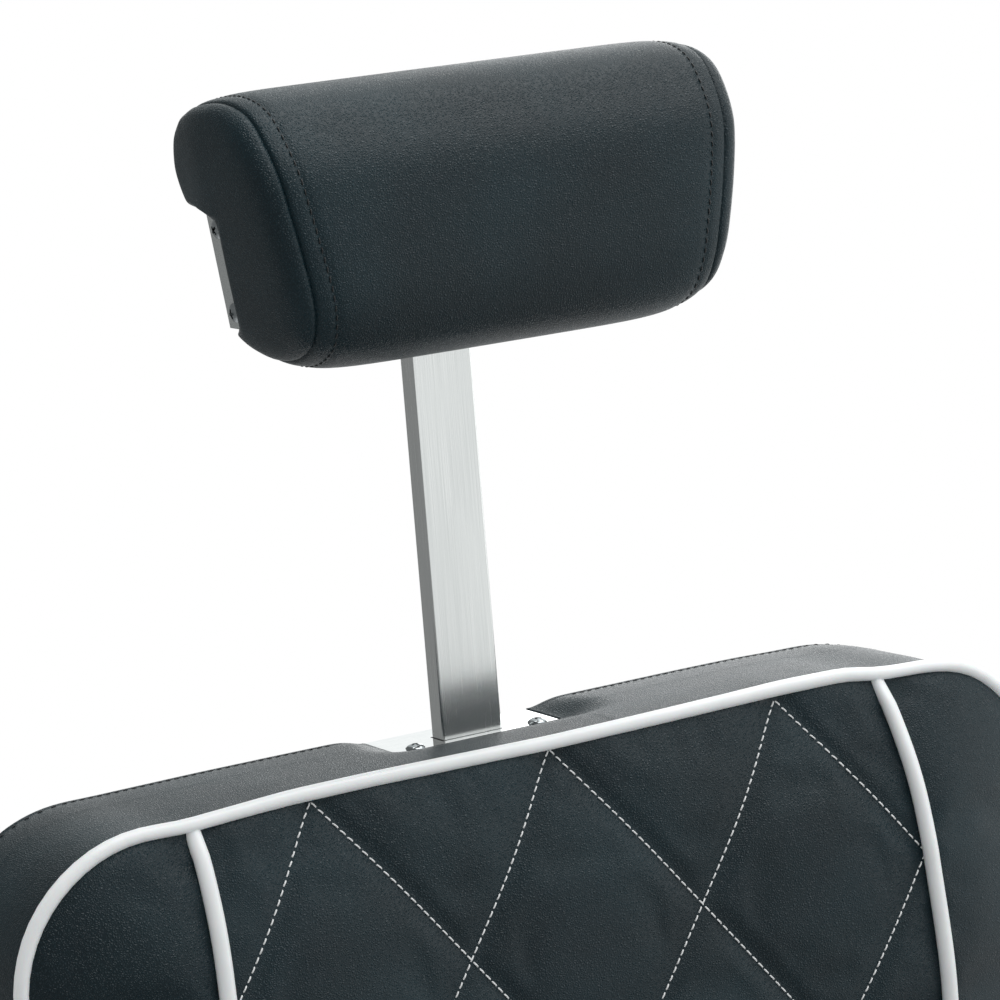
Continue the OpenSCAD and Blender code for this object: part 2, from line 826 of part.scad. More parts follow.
// Welded mount: plate, swivel socket, gussets, ears for the gas strut and the lever's bush
module seat_mount() {
    hub_wall = 15;
    hub_r = column_r + hub_wall;
    hub_low = column_top - swivel_h;
    corner = 14;
    rib_t = 6;
    rib_out = 32;
    rib_lap = 3;
    rib_step = 8;
    rib_edge = 4;
    color("dimgray")
        difference() {
            union() {
                translate([0, 0, mount_z])
                    linear_extrude(mount_plate_t) rounded_rect(mount_plate_w, mount_plate_w, corner);
                translate([0, 0, hub_low]) cylinder(r = hub_r, h = mount_z + side_gap - hub_low);
                for (a = [45 : 90 : 315])
                    rotate([0, 0, a]) rotate([90, 0, 0]) translate([0, 0, -rib_t / 2])
                        linear_extrude(rib_t)
                            polygon([
                                [hub_r - rib_lap, hub_low + rib_step],
                                [hub_r + rib_lap, hub_low + rib_step],
                                [hub_r + rib_out, mount_z - rib_edge],
                                [hub_r + rib_out, mount_z + side_gap], [hub_r - rib_lap, mount_z + side_gap]
                            ]);
                for (x = [-eye_half - side_gap - ear_t, eye_half + side_gap])
                    side_view(x, ear_t) {
                        translate([anchor_y, anchor_z]) circle(ear_r);
                        translate([anchor_y - ear_r, anchor_z]) square([2 * ear_r, mount_z - anchor_z]);
                    }
                translate([
                    mount_plate_w / 2 - bush_block[0], lever_y - bush_block[1] / 2,
                    mount_z - bush_block[2]
                ])
                    cube(bush_block);
            }
            translate([0, 0, hub_low - over])
                cylinder(r = column_r + run_gap, h = column_top + washer_t + seat_gap - hub_low + over);
            bar_x(-eye_half - 2 * ear_t, eye_half + 2 * ear_t, anchor_y, anchor_z, pin_r + run_gap);
            bar_x(mount_plate_w / 2 - bush_block[0] - over, mount_plate_w / 2 + over, lever_y, lever_z,
                lever_r + run_gap);
            for (x = [-1, 1], y = [-1, 1])
                translate([x * rail_x, y * mount_bolt_y, mount_z - over])
                    cylinder(r = m8_shank_r + shank_gap, h = mount_plate_t + 2 * over);
        }
}

// Seat frame

module rail(side) {
    rear = rear_bar_y + frame_bar_w / 2;
    front = -front_bar_y - frame_bar_w / 2;
    color("dimgray")
        difference() {
            translate([side * rail_x - frame_bar_w / 2, front, rail_z])
                cube([frame_bar_w, rear - front, frame_bar_t]);
            for (y = [-front_bar_y, -mount_bolt_y, mount_bolt_y, rear_bar_y])
                translate([side * rail_x, y, rail_z - over])
                    cylinder(r = m8_shank_r + shank_gap, h = frame_bar_t + 2 * over);
        }
}

module rail_left() {
    rail(-1);
}

module rail_right() {
    rail(1);
}

bracket_half = back_w / 2 - bracket_inset;
bracket_t = 8;
bracket_foot_w = 32;
bracket_bolt_x = bracket_half + bracket_t - bracket_foot_w / 2;

module crossbar(y, bolt_places) {
    color("dimgray")
        difference() {
            translate([-frame_half, y - frame_bar_w / 2, crossbar_z])
                cube([2 * frame_half, frame_bar_w, frame_bar_t]);
            for (x = bolt_places)
                at_sides(x)
                    translate([0, y, crossbar_z - over])
                        cylinder(r = m8_shank_r + shank_gap, h = frame_bar_t + 2 * over);
        }
}

module front_crossbar() {
    crossbar(-front_bar_y, [rail_x, footrest_bar_x, arm_x]);
}

module rear_crossbar() {
    crossbar(rear_bar_y, [rail_x, bracket_bolt_x, arm_x]);
}

// Bolts from below: mount plate to rails, rails, footrest bars and brackets to the crossbars,
// and crossbars to the arm loops
module frame_bolts() {
    grip = 2 * frame_bar_t - side_gap;
    low_places = [
        for (side = [-1, 1])
            each [
                [side * rail_x, -front_bar_y], [side * rail_x, rear_bar_y],
                [side * bracket_bolt_x, rear_bar_y], [side * footrest_bar_x, -front_bar_y]
            ]
    ];
    arm_places = [for (side = [-1, 1]) each [[side * arm_x, -front_bar_y], [side * arm_x, rear_bar_y]]];
    color("silver") {
        for (x = [-1, 1], y = [-1, 1])
            translate([x * rail_x, y * mount_bolt_y, mount_z])
                mirror([0, 0, 1])
                    bolt(m8_head_r, m8_head_h, m8_shank_r, mount_plate_t + frame_bar_t - side_gap);
        for (q = low_places)
            translate([q[0], q[1], rail_z])
                mirror([0, 0, 1]) bolt(m8_head_r, m8_head_h, m8_shank_r, grip);
        for (q = arm_places)
            translate([q[0], q[1], crossbar_z])
                mirror([0, 0, 1])
                    bolt(m8_head_r, m8_head_h, m8_shank_r, frame_bar_t + arm_bar_t - side_gap);
    }
}

module seat_space() {
    translate([0, seat_rear, board_top]) children();
}

module seat_board() {
    color("burlywood")
        translate([0, 0, -seat_board_t]) seat_space()
            linear_extrude(seat_board_t) pad_outline(seat_pad, board_inset);
}

module seat_cushion() {
    color("#1c2426")
        seat_space() quilted_pad(seat_pad);
}

module seat_piping() {
    color("white")
        seat_space() pad_piping(seat_pad);
}

// Arms

module arm_frame(side) {
    z0 = seat_z;
    color("silver")
        difference() {
            side_view(side * arm_x - arm_bar_w / 2, arm_bar_w)
                translate([arm_y + arm_len / 2, z0 + arm_h / 2])
                    difference() {
                        rounded_rect(arm_len, arm_h, arm_bend_r);
                        rounded_rect(arm_len - 2 * arm_bar_t, arm_h - 2 * arm_bar_t,
                            arm_bend_r - arm_bar_t);
                    }
            for (y = [-front_bar_y, rear_bar_y])
                translate([side * arm_x, y, z0 - over])
                    cylinder(r = m8_shank_r + shank_gap, h = arm_bar_t + 2 * over);
        }
}

module arm_frame_left() {
    arm_frame(-1);
}

module arm_frame_right() {
    arm_frame(1);
}

// Insets and heights of the arm pads' rings, as shares of their width and height
arm_pad_shares = [
    [0.05, 0], [0.008, 0.085], [0, 0.27], [0.02, 0.5], [0, 0.71], [0.058, 0.84], [0.167, 0.915],
    [0.333, 1]
];

// Padded armrest: rings of a rounded oblong that draw in under the edge and rise to a crown
module arm_pad(side) {
    corner_share = 0.42;
    r = arm_pad_w * corner_share;
    steps = 6;
    forward = 12;
    function outline(inset) = [
        for (corner = [[1, 1, 0], [-1, 1, 90], [-1, -1, 180], [1, -1, 270]], k = [0 : steps])
            let (a = corner[2] + 90 * k / steps, q = max(r - inset, side_gap))
            [
                corner[0] * (arm_pad_w / 2 - max(r, inset + side_gap)) + q * cos(a),
                corner[1] * (arm_pad_len / 2 - max(r, inset + side_gap)) + q * sin(a)
            ]
    ];
    color("#1c2426")
        translate([side * arm_x, arm_y + arm_len / 2 - forward, seat_z + arm_h + seat_gap])
            loft([
                for (s = arm_pad_shares)
                    [for (q = outline(s[0] * arm_pad_w)) [q[0], q[1], s[1] * arm_pad_h]]
            ]);
}

module arm_pad_left() {
    arm_pad(-1);
}

module arm_pad_right() {
    arm_pad(1);
}

// Recline hinge

bracket_head_r = 22;
bracket_toe = 15;
washer_gap = 1;
iron_t = 8;
iron_w = 40;
ear_in = bracket_half - washer_gap - iron_t;

module hinge_bracket(side) {
    web_gap = 9;
    web_y = seat_rear + web_gap;
    foot_y = rear_bar_y - frame_bar_w / 2;
    color("dimgray")
        on_side(side)
            difference() {
                union() {
                    translate([bracket_half + bracket_t - bracket_foot_w, foot_y, rail_z])
                        cube([bracket_foot_w, pivot_y + bracket_toe - foot_y, frame_bar_t]);
                    side_view(bracket_half, bracket_t) {
                        translate([pivot_y, pivot_z]) circle(bracket_head_r);
                        polygon([
                            [web_y, rail_z + frame_bar_t / 2],
                            [pivot_y + bracket_toe, rail_z + frame_bar_t / 2],
                            [pivot_y + bracket_head_r, pivot_z], [pivot_y - bracket_head_r, pivot_z]
                        ]);
                    }
                }
                bar_x(bracket_half - over, bracket_half + bracket_t + over, pivot_y, pivot_z,
                    pivot_pin_r + run_gap);
                translate([bracket_bolt_x, rear_bar_y, rail_z - over])
                    cylinder(r = m8_shank_r + shank_gap, h = frame_bar_t + 2 * over);
            }
}

module hinge_bracket_left() {
    hinge_bracket(-1);
}

module hinge_bracket_right() {
    hinge_bracket(1);
}

// Headed pins with a washer between bracket and iron and a clip at the inner end
module hinge_pins() {
    cap_h = 5;
    cap_lip = 5;
    washer_lip = 8;
    clip_t = 3;
    outer = bracket_half + bracket_t;
    color("silver")
        for (side = [-1, 1])
            on_side(side) {
                bar_x(ear_in - clip_t - side_gap, outer + cap_h / 2, pivot_y, pivot_z, pivot_pin_r);
                bar_x(outer, outer + cap_h, pivot_y, pivot_z, pivot_pin_r + cap_lip);
                difference() {
                    bar_x(bracket_half - washer_gap, bracket_half - seat_gap / 2, pivot_y, pivot_z,
                        pivot_pin_r + washer_lip);
                    bar_x(bracket_half - 2 * over, bracket_half + over, pivot_y, pivot_z,
                        pivot_pin_r + seat_gap);
                }
            }
}

// Backrest irons: a flat strap behind the board and a welded ear on the pivot
module back_iron(side) {
    strap_top = 210;
    strap_rise = 27;
    ear_rise = 56;
    strap_low = pivot_drop - strap_rise;
    color("dimgray")
        back_space() on_side(side)
            difference() {
                union() {
                    translate([ear_in + iron_t / 2 - iron_w / 2, -board_rear_t, -strap_low])
                        cube([iron_w, strap_t, strap_low - strap_top]);
                    side_view(ear_in, iron_t) {
                        translate([-pivot_t, -pivot_drop]) circle(iron_w / 2);
                        translate([-pivot_t - iron_w / 2, -pivot_drop])
                            square([iron_w, ear_rise]);
                    }
                }
                bar_x(ear_in - over, ear_in + iron_t + over, -pivot_t, -pivot_drop,
                    pivot_pin_r + run_gap);
            }
}

module back_iron_left() {
    back_iron(-1);
}

module back_iron_right() {
    back_iron(1);
}

// Crank and gas strut, in the chair's own frame

crank_back = recline_travel / 2;
arc_rise = crank_len * (1 - cos(crank_back));
crank_y = pivot_y + crank_len * sin(crank_back);
crank_z = pivot_z - crank_len * cos(crank_back);
rod_y = crank_y;
rod_z = crank_z - arc_rise / 2;
strut_angle = atan2(rod_z - anchor_z, rod_y - anchor_y);
strut_reach = norm([rod_y - anchor_y, rod_z - anchor_z]);

// Torsion tube between the irons, with two crank plates in the middle
module back_cross_tube() {
    tube_r = 13;
    tube_wall = 3;
    boss_r = 20;
    end_r = 11;
    plate_x = eye_half + 2 * side_gap;
    color("dimgray")
        difference() {
            union() {
                bar_x(-ear_in, ear_in, pivot_y, pivot_z, tube_r);
                for (x = [-plate_x - ear_t, plate_x])
                    side_view(x, ear_t) {
                        translate([pivot_y, pivot_z]) circle(boss_r);
                        translate([crank_y, crank_z]) circle(end_r);
                        translate([pivot_y, pivot_z]) rotate(crank_back)
                            translate([-end_r, -crank_len]) square([2 * end_r, crank_len]);
                    }
            }
            bar_x(-ear_in - over, ear_in + over, pivot_y, pivot_z, tube_r - tube_wall);
            bar_x(-plate_x - 2 * ear_t, plate_x + 2 * ear_t, crank_y, crank_z, pin_r + run_gap);
        }
}

module short_pin(y, z, half) {
    bar_x(-half - pin_head_h / 2, half + side_gap, y, z, pin_r);
    bar_x(half + seat_gap, half + pin_head_h, y, z, pin_head_r);
}

module crank_pin() {
    color("silver")
        short_pin(crank_y, crank_z, eye_half + 2 * side_gap + ear_t);
}

module strut_pin() {
    color("silver")
        short_pin(anchor_y, anchor_z, eye_half + side_gap + ear_t);
}

// Strut space: Y along the strut from its fixed pin
module strut_space() {
    translate([0, anchor_y, anchor_z]) rotate([strut_angle, 0, 0]) children();
}

module along_y(y0, y1, r) {
    translate([0, y0, 0]) rotate([-90, 0, 0]) cylinder(r = r, h = y1 - y0);
}

tube_start = 14;
tube_cap_t = 8;

module strut_cylinder() {
    neck_wall = 2;
    color("#2a2a2c")
        strut_space()
            difference() {
                union() {
                    bar_x(-eye_half, eye_half, 0, 0, strut_r - side_gap);
                    along_y(0, tube_start + over, strut_rod_r + neck_wall);
                    along_y(tube_start, strut_len, strut_r);
                }
                bar_x(-eye_half - over, eye_half + over, 0, 0, pin_r + run_gap);
                along_y(tube_start + tube_cap_t, strut_len + over, strut_rod_r + run_gap);
            }
}

module strut_rod() {
    travel = 2 * crank_len * sin(crank_back);
    eye_bore = pin_r + arc_rise / 2 + 2 * seat_gap;
    eye_wall = 4;
    rod_lap = 40;
    start = max(tube_start + tube_cap_t + 2 * side_gap, strut_len - rod_lap - seat_gap - travel / 4);
    color("gainsboro")
        strut_space()
            difference() {
                union() {
                    along_y(start, strut_reach - eye_bore, strut_rod_r);
                    bar_x(-eye_half, eye_half, strut_reach, 0, eye_bore + eye_wall);
                }
                bar_x(-eye_half - over, eye_half + over, strut_reach, 0, eye_bore);
            }
}

// Recline lever

lever_end = arm_x;
handle_w = 14;
handle_t = 6;
handle_reach = 78;
handle_run = 30;
handle_drop = 8;
handle_slope = atan(handle_drop / (handle_reach - handle_run));
handle_tip = [lever_y - handle_reach, lever_z - handle_drop];
knob_l = 52;
knob_r = 11;
knob_lap = 4;

module recline_lever() {
    finger_gap = 8;
    finger_x = eye_half + 2 * side_gap + ear_t + finger_gap;
    finger_t = 6;
    finger_w = 8;
    finger_tip = [lever_y + 2 * finger_w, lever_z - finger_t];
    boss_wall = 4;
    bend_r = 30;
    color("silver") {
        bar_x(finger_x, lever_end, lever_y, lever_z, lever_r);
        side_view(finger_x, finger_t) {
            translate([lever_y, lever_z]) circle(lever_r + boss_wall);
            strap_profile([[lever_y, lever_z], finger_tip], finger_w);
        }
        side_view(lever_end - handle_w / 2, handle_w) {
            translate([lever_y, lever_z]) circle(lever_r + boss_wall);
            strap_profile(
                bend_path([[lever_y, lever_z], [lever_y - handle_run, lever_z], handle_tip], bend_r),
                handle_t);
        }
    }
}

// Profile of the knob, as shares of its radius and its length
knob_shares = [
    [0, 0], [0.73, 0], [0.91, 0.04], [0.82, 0.5], [1, 0.85], [0.82, 0.96], [0.5, 1], [0, 1]
];

// The knob's slot takes the handle's end and follows its slope
module lever_knob() {
    slot_h = handle_t + 2 * seat_gap;
    color("black")
        translate([lever_end, handle_tip[0], handle_tip[1]])
            rotate([handle_slope, 0, 0])
                translate([0, knob_lap, 0])
                    difference() {
                        rotate([90, 0, 0])
                            rotate_extrude()
                                polygon([for (q = knob_shares) [q[0] * knob_r, q[1] * knob_l]]);
                        translate([-handle_w / 2 - seat_gap, -knob_lap - seat_gap, -slot_h / 2])
                            cube([handle_w + 2 * seat_gap, knob_lap + seat_gap + over, slot_h]);
                    }
}

// Footrest

shelf_len = 68;
foot_ear_t = 8;
foot_hinge_rise = 14;
foot_hinge_z = footrest_z + foot_hinge_rise;
foot_lug_r = 9.5;
foot_ear_r = 11.5;
foot_ear_x = footrest_bar_x + frame_bar_w / 2 - foot_ear_t;

module footrest_bar(side) {
    knee_gap = 26;
    heel_gap = 36;
    end_lap = 6;
    bend_r = 24;
    knee_y = seat_rear - seat_len - knee_gap;
    heel_y = -footrest_y + heel_gap;
    path = [
        [-front_bar_y + frame_bar_w / 2 + end_lap, rail_z + frame_bar_t / 2],
        [knee_y, rail_z + frame_bar_t / 2], [heel_y, footrest_z], [heel_y - shelf_len, footrest_z]
    ];
    color("silver")
        on_side(side)
            difference() {
                union() {
                    side_view(footrest_bar_x - frame_bar_w / 2, frame_bar_w)
                        strap_profile(bend_path(path, bend_r), frame_bar_t);
                    side_view(foot_ear_x, foot_ear_t) {
                        translate([-footrest_y, foot_hinge_z]) circle(foot_ear_r);
                        translate([-footrest_y - foot_ear_r, footrest_z])
                            square([2 * foot_ear_r, foot_hinge_z - footrest_z]);
                    }
                }
                bar_x(foot_ear_x - over, foot_ear_x + foot_ear_t + over, -footrest_y, foot_hinge_z,
                    pin_r + run_gap);
                translate([footrest_bar_x, -front_bar_y, rail_z - over])
                    cylinder(r = m8_shank_r + shank_gap, h = frame_bar_t + 2 * over);
            }
}

module footrest_bar_left() {
    footrest_bar(-1);
}

module footrest_bar_right() {
    footrest_bar(1);
}

module footrest_pins() {
    color("silver")
        for (side = [-1, 1])
            on_side(side) {
                bar_x(foot_ear_x - 2 * side_gap - foot_ear_t, foot_ear_x + foot_ear_t + side_gap,
                    -footrest_y, foot_hinge_z, pin_r);
                bar_x(foot_ear_x + foot_ear_t + seat_gap, foot_ear_x + foot_ear_t + pin_head_h,
                    -footrest_y, foot_hinge_z, pin_head_r);
            }
}

sheet_t = 4;
sheet_z = footrest_z + frame_bar_t / 2 + seat_gap;

module foot_plate() {
    lip = 16;
    corner = 18;
    lug_len = 26;
    lug_x = foot_ear_x - side_gap - foot_ear_t;
    color("lightgray")
        difference() {
            union() {
                difference() {
                    translate([0, -footrest_y - foot_plate_d / 2, sheet_z + sheet_t - lip])
                        linear_extrude(lip) rounded_rect(foot_plate_w, foot_plate_d, corner);
                    translate([0, -footrest_y - foot_plate_d / 2 + sheet_t, sheet_z - lip])
                        linear_extrude(lip)
                            rounded_rect(foot_plate_w - 2 * sheet_t, foot_plate_d, corner - sheet_t);
                }
                for (side = [-1, 1])
                    on_side(side)
                        side_view(lug_x, foot_ear_t) {
                            translate([-footrest_y, foot_hinge_z]) circle(foot_lug_r);
                            translate([-footrest_y - lug_len, sheet_z + over])
                                square([lug_len, foot_hinge_z - sheet_z]);
                        }
            }
            for (side = [-1, 1])
                on_side(side) {
                    bar_x(lug_x - over, lug_x + foot_ear_t + over, -footrest_y, foot_hinge_z,
                        pin_r + run_gap);
                    translate([foot_ear_x - side_gap, -footrest_y - foot_ear_r - side_gap, sheet_z - over])
                        cube([
                            foot_ear_t + pin_head_h + 2 * side_gap, foot_ear_r + side_gap + over,
                            sheet_t + 2 * over
                        ]);
                }
        }
}

module foot_treads() {
    tread_w = 15;
    tread_h = 3;
    corner = 5;
    margin = 22;
    first = 34;
    pitch = (foot_plate_d - first - margin) / (treads - 1);
    color("black")
        for (k = [0 : treads - 1])
            translate([0, -footrest_y - first - k * pitch, sheet_z + sheet_t])
                linear_extrude(tread_h)
                    rounded_rect(foot_plate_w - 2 * margin, tread_w, corner);
}

// Backrest body

guide_wall = 2;
sleeve_t = 2;
guide_clear = 0.2;
guide_foot = 14;
post_grip = post_hold + head_up;
guide_len = head_down + post_grip + guide_foot;

// A flat layer of the backrest from one level to another, with the notch for the post
module back_layer(t0, t1, notch_x, notch_low) {
    back_space()
        rotate([90, 0, 0]) translate([0, 0, t0])
            linear_extrude(t1 - t0)
                difference() {
                    translate([0, back_crest]) pad_outline(back_pad, board_inset);
                    translate([-notch_x, -notch_low]) square([2 * notch_x, notch_low + 2 * back_crest]);
                }
}

module board_slot() {
    slot_half = guide_half_x + side_gap;
    translate([-slot_half, -board_front_t - over, -guide_len - 2 * side_gap])
        cube([2 * slot_half, board_front_t - board_rear_t + 2 * over, guide_len + 2 * back_crest]);
}

guide_half_x = post_w / 2 + slide_gap + sleeve_t + guide_clear + guide_wall;
guide_front = slide_gap + sleeve_t + guide_clear + guide_wall;
guide_rear = -post_t - guide_front;

module back_board() {
    color("burlywood")
        difference() {
            back_layer(board_rear_t, board_front_t, plate_half + side_gap, plate_t + seat_gap);
            back_space() {
                board_slot();
                at_sides(screw_x)
                    translate([0, 0, -plate_screw_len - side_gap])
                        cylinder(r = m5_shank_r + run_gap, h = plate_screw_len);
            }
        }
}

// Wooden strips between the board and the rear panel
module back_battens() {
    strip = 34;
    p = back_pad;
    side_h = p[1] - 2 * corner_r;
    foot_x = ear_in + iron_t / 2 - iron_w / 2 - side_gap;
    side_in = p[0] - board_inset;
    outer_w = side_in - foot_x - iron_w - 2 * side_gap;
    inner_x = guide_half_x + 2 * side_gap;
    thick = batten_t - seat_gap;
    color("burlywood")
        back_space()
            for (side = [-1, 1])
                on_side(side) translate([0, -board_rear_t + seat_gap / 2, 0]) {
                    translate([side_in - outer_w, 0, back_crest - corner_r - side_h])
                        cube([outer_w, thick, side_h]);
                    translate([inner_x, 0, -plate_t - strip - side_gap])
                        cube([foot_x - guide_half_x, thick, strip]);
                    translate([inner_x, 0, back_crest - p[1] + board_inset])
                        cube([foot_x - inner_x - side_gap, thick, strip]);
                }
}

module back_rear_panel() {
    color("#1c2426")
        back_layer(rear_face_t, rear_face_t + panel_t, plate_half + side_gap, plate_t + seat_gap);
}

module back_pad_space() {
    back_space() translate([0, -board_front_t, back_crest]) rotate([90, 0, 0]) children();
}

module back_cushion() {
    color("#1c2426")
        back_pad_space() quilted_pad(back_pad);
}

module back_piping() {
    color("white")
        back_pad_space() pad_piping(back_pad);
}

screw_x = 31;
plate_screw_len = 18;

// Polished plate with the slot that the post slides through
module top_plate() {
    slot_gap = 0.6;
    depth = board_front_t - rear_face_t;
    color("white")
        back_space()
            difference() {
                translate([-plate_half, -board_front_t, -plate_t]) cube([2 * plate_half, depth, plate_t]);
                translate([-post_w / 2 - slot_gap, -slot_gap, -plate_t - over])
                    cube([post_w + 2 * slot_gap, post_t + 2 * slot_gap, plate_t + 2 * over]);
                at_sides(screw_x)
                    translate([0, 0, -plate_t - over])
                        cylinder(r = m5_shank_r + shank_gap, h = plate_t + 2 * over);
            }
}

// Profile of a button head, as shares of its radius and its height
button_shares = [[0, 1], [0.55, 0.92], [0.85, 0.6], [1, 0]];

// Button-head screw with its head resting at z = 0
module screw(length) {
    rotate_extrude()
        polygon(concat(
            [for (q = button_shares) [q[0] * m5_head_r, q[1] * m5_head_h]],
            [[m5_shank_r, 0], [m5_shank_r, -length], [0, -length]]
        ));
}

module plate_screws() {
    color("silver")
        back_space() at_sides(screw_x) screw(plate_screw_len);
}

// Steel channel that holds the post, closed at the bottom
module post_guide() {
    w = 2 * guide_half_x;
    inner = w - 2 * guide_wall;
    d = guide_front - guide_rear;
    color("dimgray")
        back_space()
            translate([0, -(guide_front + guide_rear) / 2, 0])
                difference() {
                    translate([-w / 2, -d / 2, -guide_len])
                        cube([w, d, guide_len - plate_t - seat_gap]);
                    translate([-inner / 2, -d / 2 + guide_wall, -guide_len + guide_wall])
                        cube([inner, d - 2 * guide_wall, guide_len]);
                }
}

// Nylon sleeve that the post slides in
module guide_sleeve() {
    length = 84;
    w = post_w + 2 * slide_gap;
    d = post_t + 2 * slide_gap;
    color("ivory")
        back_space()
            translate([0, post_t / 2, -length - plate_t - side_gap])
                difference() {
                    translate([-w / 2 - sleeve_t, -d / 2 - sleeve_t, 0])
                        cube([w + 2 * sleeve_t, d + 2 * sleeve_t, length]);
                    translate([-w / 2, -d / 2, -over]) cube([w, d, length + 2 * over]);
                }
}

// Headrest

module headrest_post() {
    edge = 1;
    top_gap = 4;
    top = tray_top - top_gap;
    color("silver")
        back_space()
            difference() {
                translate([0, post_t / 2, -post_grip])
                    linear_extrude(top + post_grip) rounded_rect(post_w, post_t, edge);
                post_bolt_places()
                    translate([0, 0, -post_t]) cylinder(r = m5_shank_r + run_gap, h = 2 * post_t);
            }
}

post_bolt_pitch = 24;

// Places of the bolts that hold the tray to the post, with Z pointing out of the tray's back
module post_bolt_places() {
    for (v = [-1, 1])
        translate([0, post_t + tray_t, (tray_low + tray_top) / 2 + v * post_bolt_pitch / 2])
            rotate([-90, 0, 0]) children();
}

module headrest_bolts() {
    color("silver")
        back_space() post_bolt_places() screw(post_t);
}

// Half width of the headrest at a height above the plate. It narrows in a smooth curve
taper_from_share = 0.88;
taper_to_share = 0.08;
function head_half(v) =
    let (
        s = (head_raise + taper_from_share * head_h - v)
            / ((taper_from_share - taper_to_share) * head_h)
    )
    head_half_w - head_taper * (1 - cos(180 * min(1, max(0, s)))) / 2;

tray_top_half = head_half(tray_top) - tray_top_inset;
tray_low_half = head_half(tray_low) - tray_low_inset;

module tray_outline(inset) {
    top = tray_top_half - inset;
    low = tray_low_half - inset;
    polygon([[-low, tray_low], [low, tray_low], [top, tray_top], [-top, tray_top]]);
}

// Stainless tray: a flat back with end flanges that follow the cushion's tapered ends
module headrest_tray() {
    rear = post_t + tray_t;
    flange = rear - seat_gap;
    color("silver")
        back_space()
            difference() {
                translate([0, rear, 0]) rotate([90, 0, 0])
                    difference() {
                        linear_extrude(flange) tray_outline(0);
                        translate([0, 0, tray_t]) linear_extrude(flange)
                            difference() {
                                tray_outline(tray_t);
                                translate([-head_half_w, tray_low - over])
                                    square([2 * head_half_w, over]);
                            }
                        translate([-head_half_w / 2, tray_low - over, tray_t])
                            cube([head_half_w, tray_h + 2 * over, flange]);
                    }
                tray_screw_places() translate([0, 0, -2 * tray_t])
                    cylinder(r = m5_shank_r + shank_gap, h = 4 * tray_t);
                post_bolt_places() translate([0, 0, -2 * tray_t])
                    cylinder(r = m5_shank_r + shank_gap, h = 4 * tray_t);
            }
}

tray_slope = atan((tray_top_half - tray_low_half) / tray_h);
tray_screw_len = 8;

// Places of the end screws, with Z pointing out of the tray's tapered ends
module tray_screw_places() {
    middle = (tray_low + tray_top) / 2;
    half = (tray_low_half + tray_top_half) / 2;
    for (side = [-1, 1], v = [-tray_screw_pitch / 2, tray_screw_pitch / 2])
        on_side(side)
            translate([half + v * tan(tray_slope), post_t / 2, middle + v])
                rotate([0, 90 + tray_slope, 0]) children();
}

module headrest_core() {
    slot = post_w / 2 + seat_gap;
    reach = tray_screw_len + side_gap;
    color("burlywood")
        back_space()
            difference() {
                translate([0, post_t - seat_gap / 2, 0]) rotate([90, 0, 0])
                    linear_extrude(post_t - seat_gap)
                        difference() {
                            intersection() {
                                tray_outline(tray_t + seat_gap);
                                translate([-head_half_w, tray_low + seat_gap])
                                    square([2 * head_half_w, tray_h - 2 * seat_gap]);
                            }
                            translate([-slot, tray_low - over]) square([2 * slot, tray_h - 2 * side_gap]);
                        }
                tray_screw_places() translate([0, 0, -reach - tray_t])
                    cylinder(r = m5_shank_r + run_gap, h = reach + 2 * tray_t);
            }
}

module headrest_screws() {
    color("silver")
        back_space() tray_screw_places() screw(tray_screw_len);
}

// Section of the headrest, forward and up from the post. The front is given as shares of the
// front depth and the height, the lobe as shares of its depth and its height over the tray
front_shares = [
    [0.15, 0.985], [0.46, 1], [0.7, 0.955], [0.85, 0.86], [0.95, 0.73], [0.985, 0.585],
    [1, 0.42], [0.993, 0.26], [0.94, 0.145], [0.84, 0.068], [0.68, 0.018], [0.47, 0],
    [0.25, 0.024], [0.08, 0.058]
];
lobe_shares = [
    [0.45, 0.04], [0.8, 0.13], [0.985, 0.3], [1, 0.5], [0.76, 0.725], [0.28, 0.905]
];

head_section = concat(
    [for (s = front_shares) [s[0] * head_front_d, head_raise + s[1] * head_h]],
    [[seat_gap, tray_low - 2 * side_gap], [seat_gap, tray_top + seat_gap]],
    [
        for (s = lobe_shares)
            [-s[0] * head_lobe_d, blend(tray_top + 2 * seat_gap, head_top, s[1])]
    ]
);

// A ring of the headrest: the section shrunk towards its middle, at a share of the half width
middle_shares = [0.4, 0.58];
function head_ring(side, width_share, shrink_share, bulge) =
    let (middle = [middle_shares[0] * head_front_d, head_raise + middle_shares[1] * head_h])
    [
        for (q = head_section)
            let (s = blend(middle, q, shrink_share))
            [side * (width_share * head_half(s[1]) + bulge), -s[0], s[1]]
    ];

// Rings from the middle of an end panel over its seam and onto the wrap, as shares of the half
// width, of the section and of the end's bulge
end_shares = [
    [1, 0.35, 1], [1, 0.66, 0.93], [1, 0.82, 0.66], [1, 0.895, 0.3], [1, 0.92, 0], [0.92, 0.965, 0],
    [0.78, 0.99, 0]
];

module headrest_cushion() {
    stations = 6;
    wrap_share = 0.6;
    rings = concat(
        [for (e = end_shares) head_ring(-1, e[0], e[1], e[2] * head_end_bulge)],
        [for (k = [0 : stations]) head_ring(1, wrap_share * (2 * k / stations - 1), 1, 0)],
        [for (e = reversed(end_shares)) head_ring(1, e[0], e[1], e[2] * head_end_bulge)]
    );
    color("#1c2426")
        back_space() loft(rings);
}

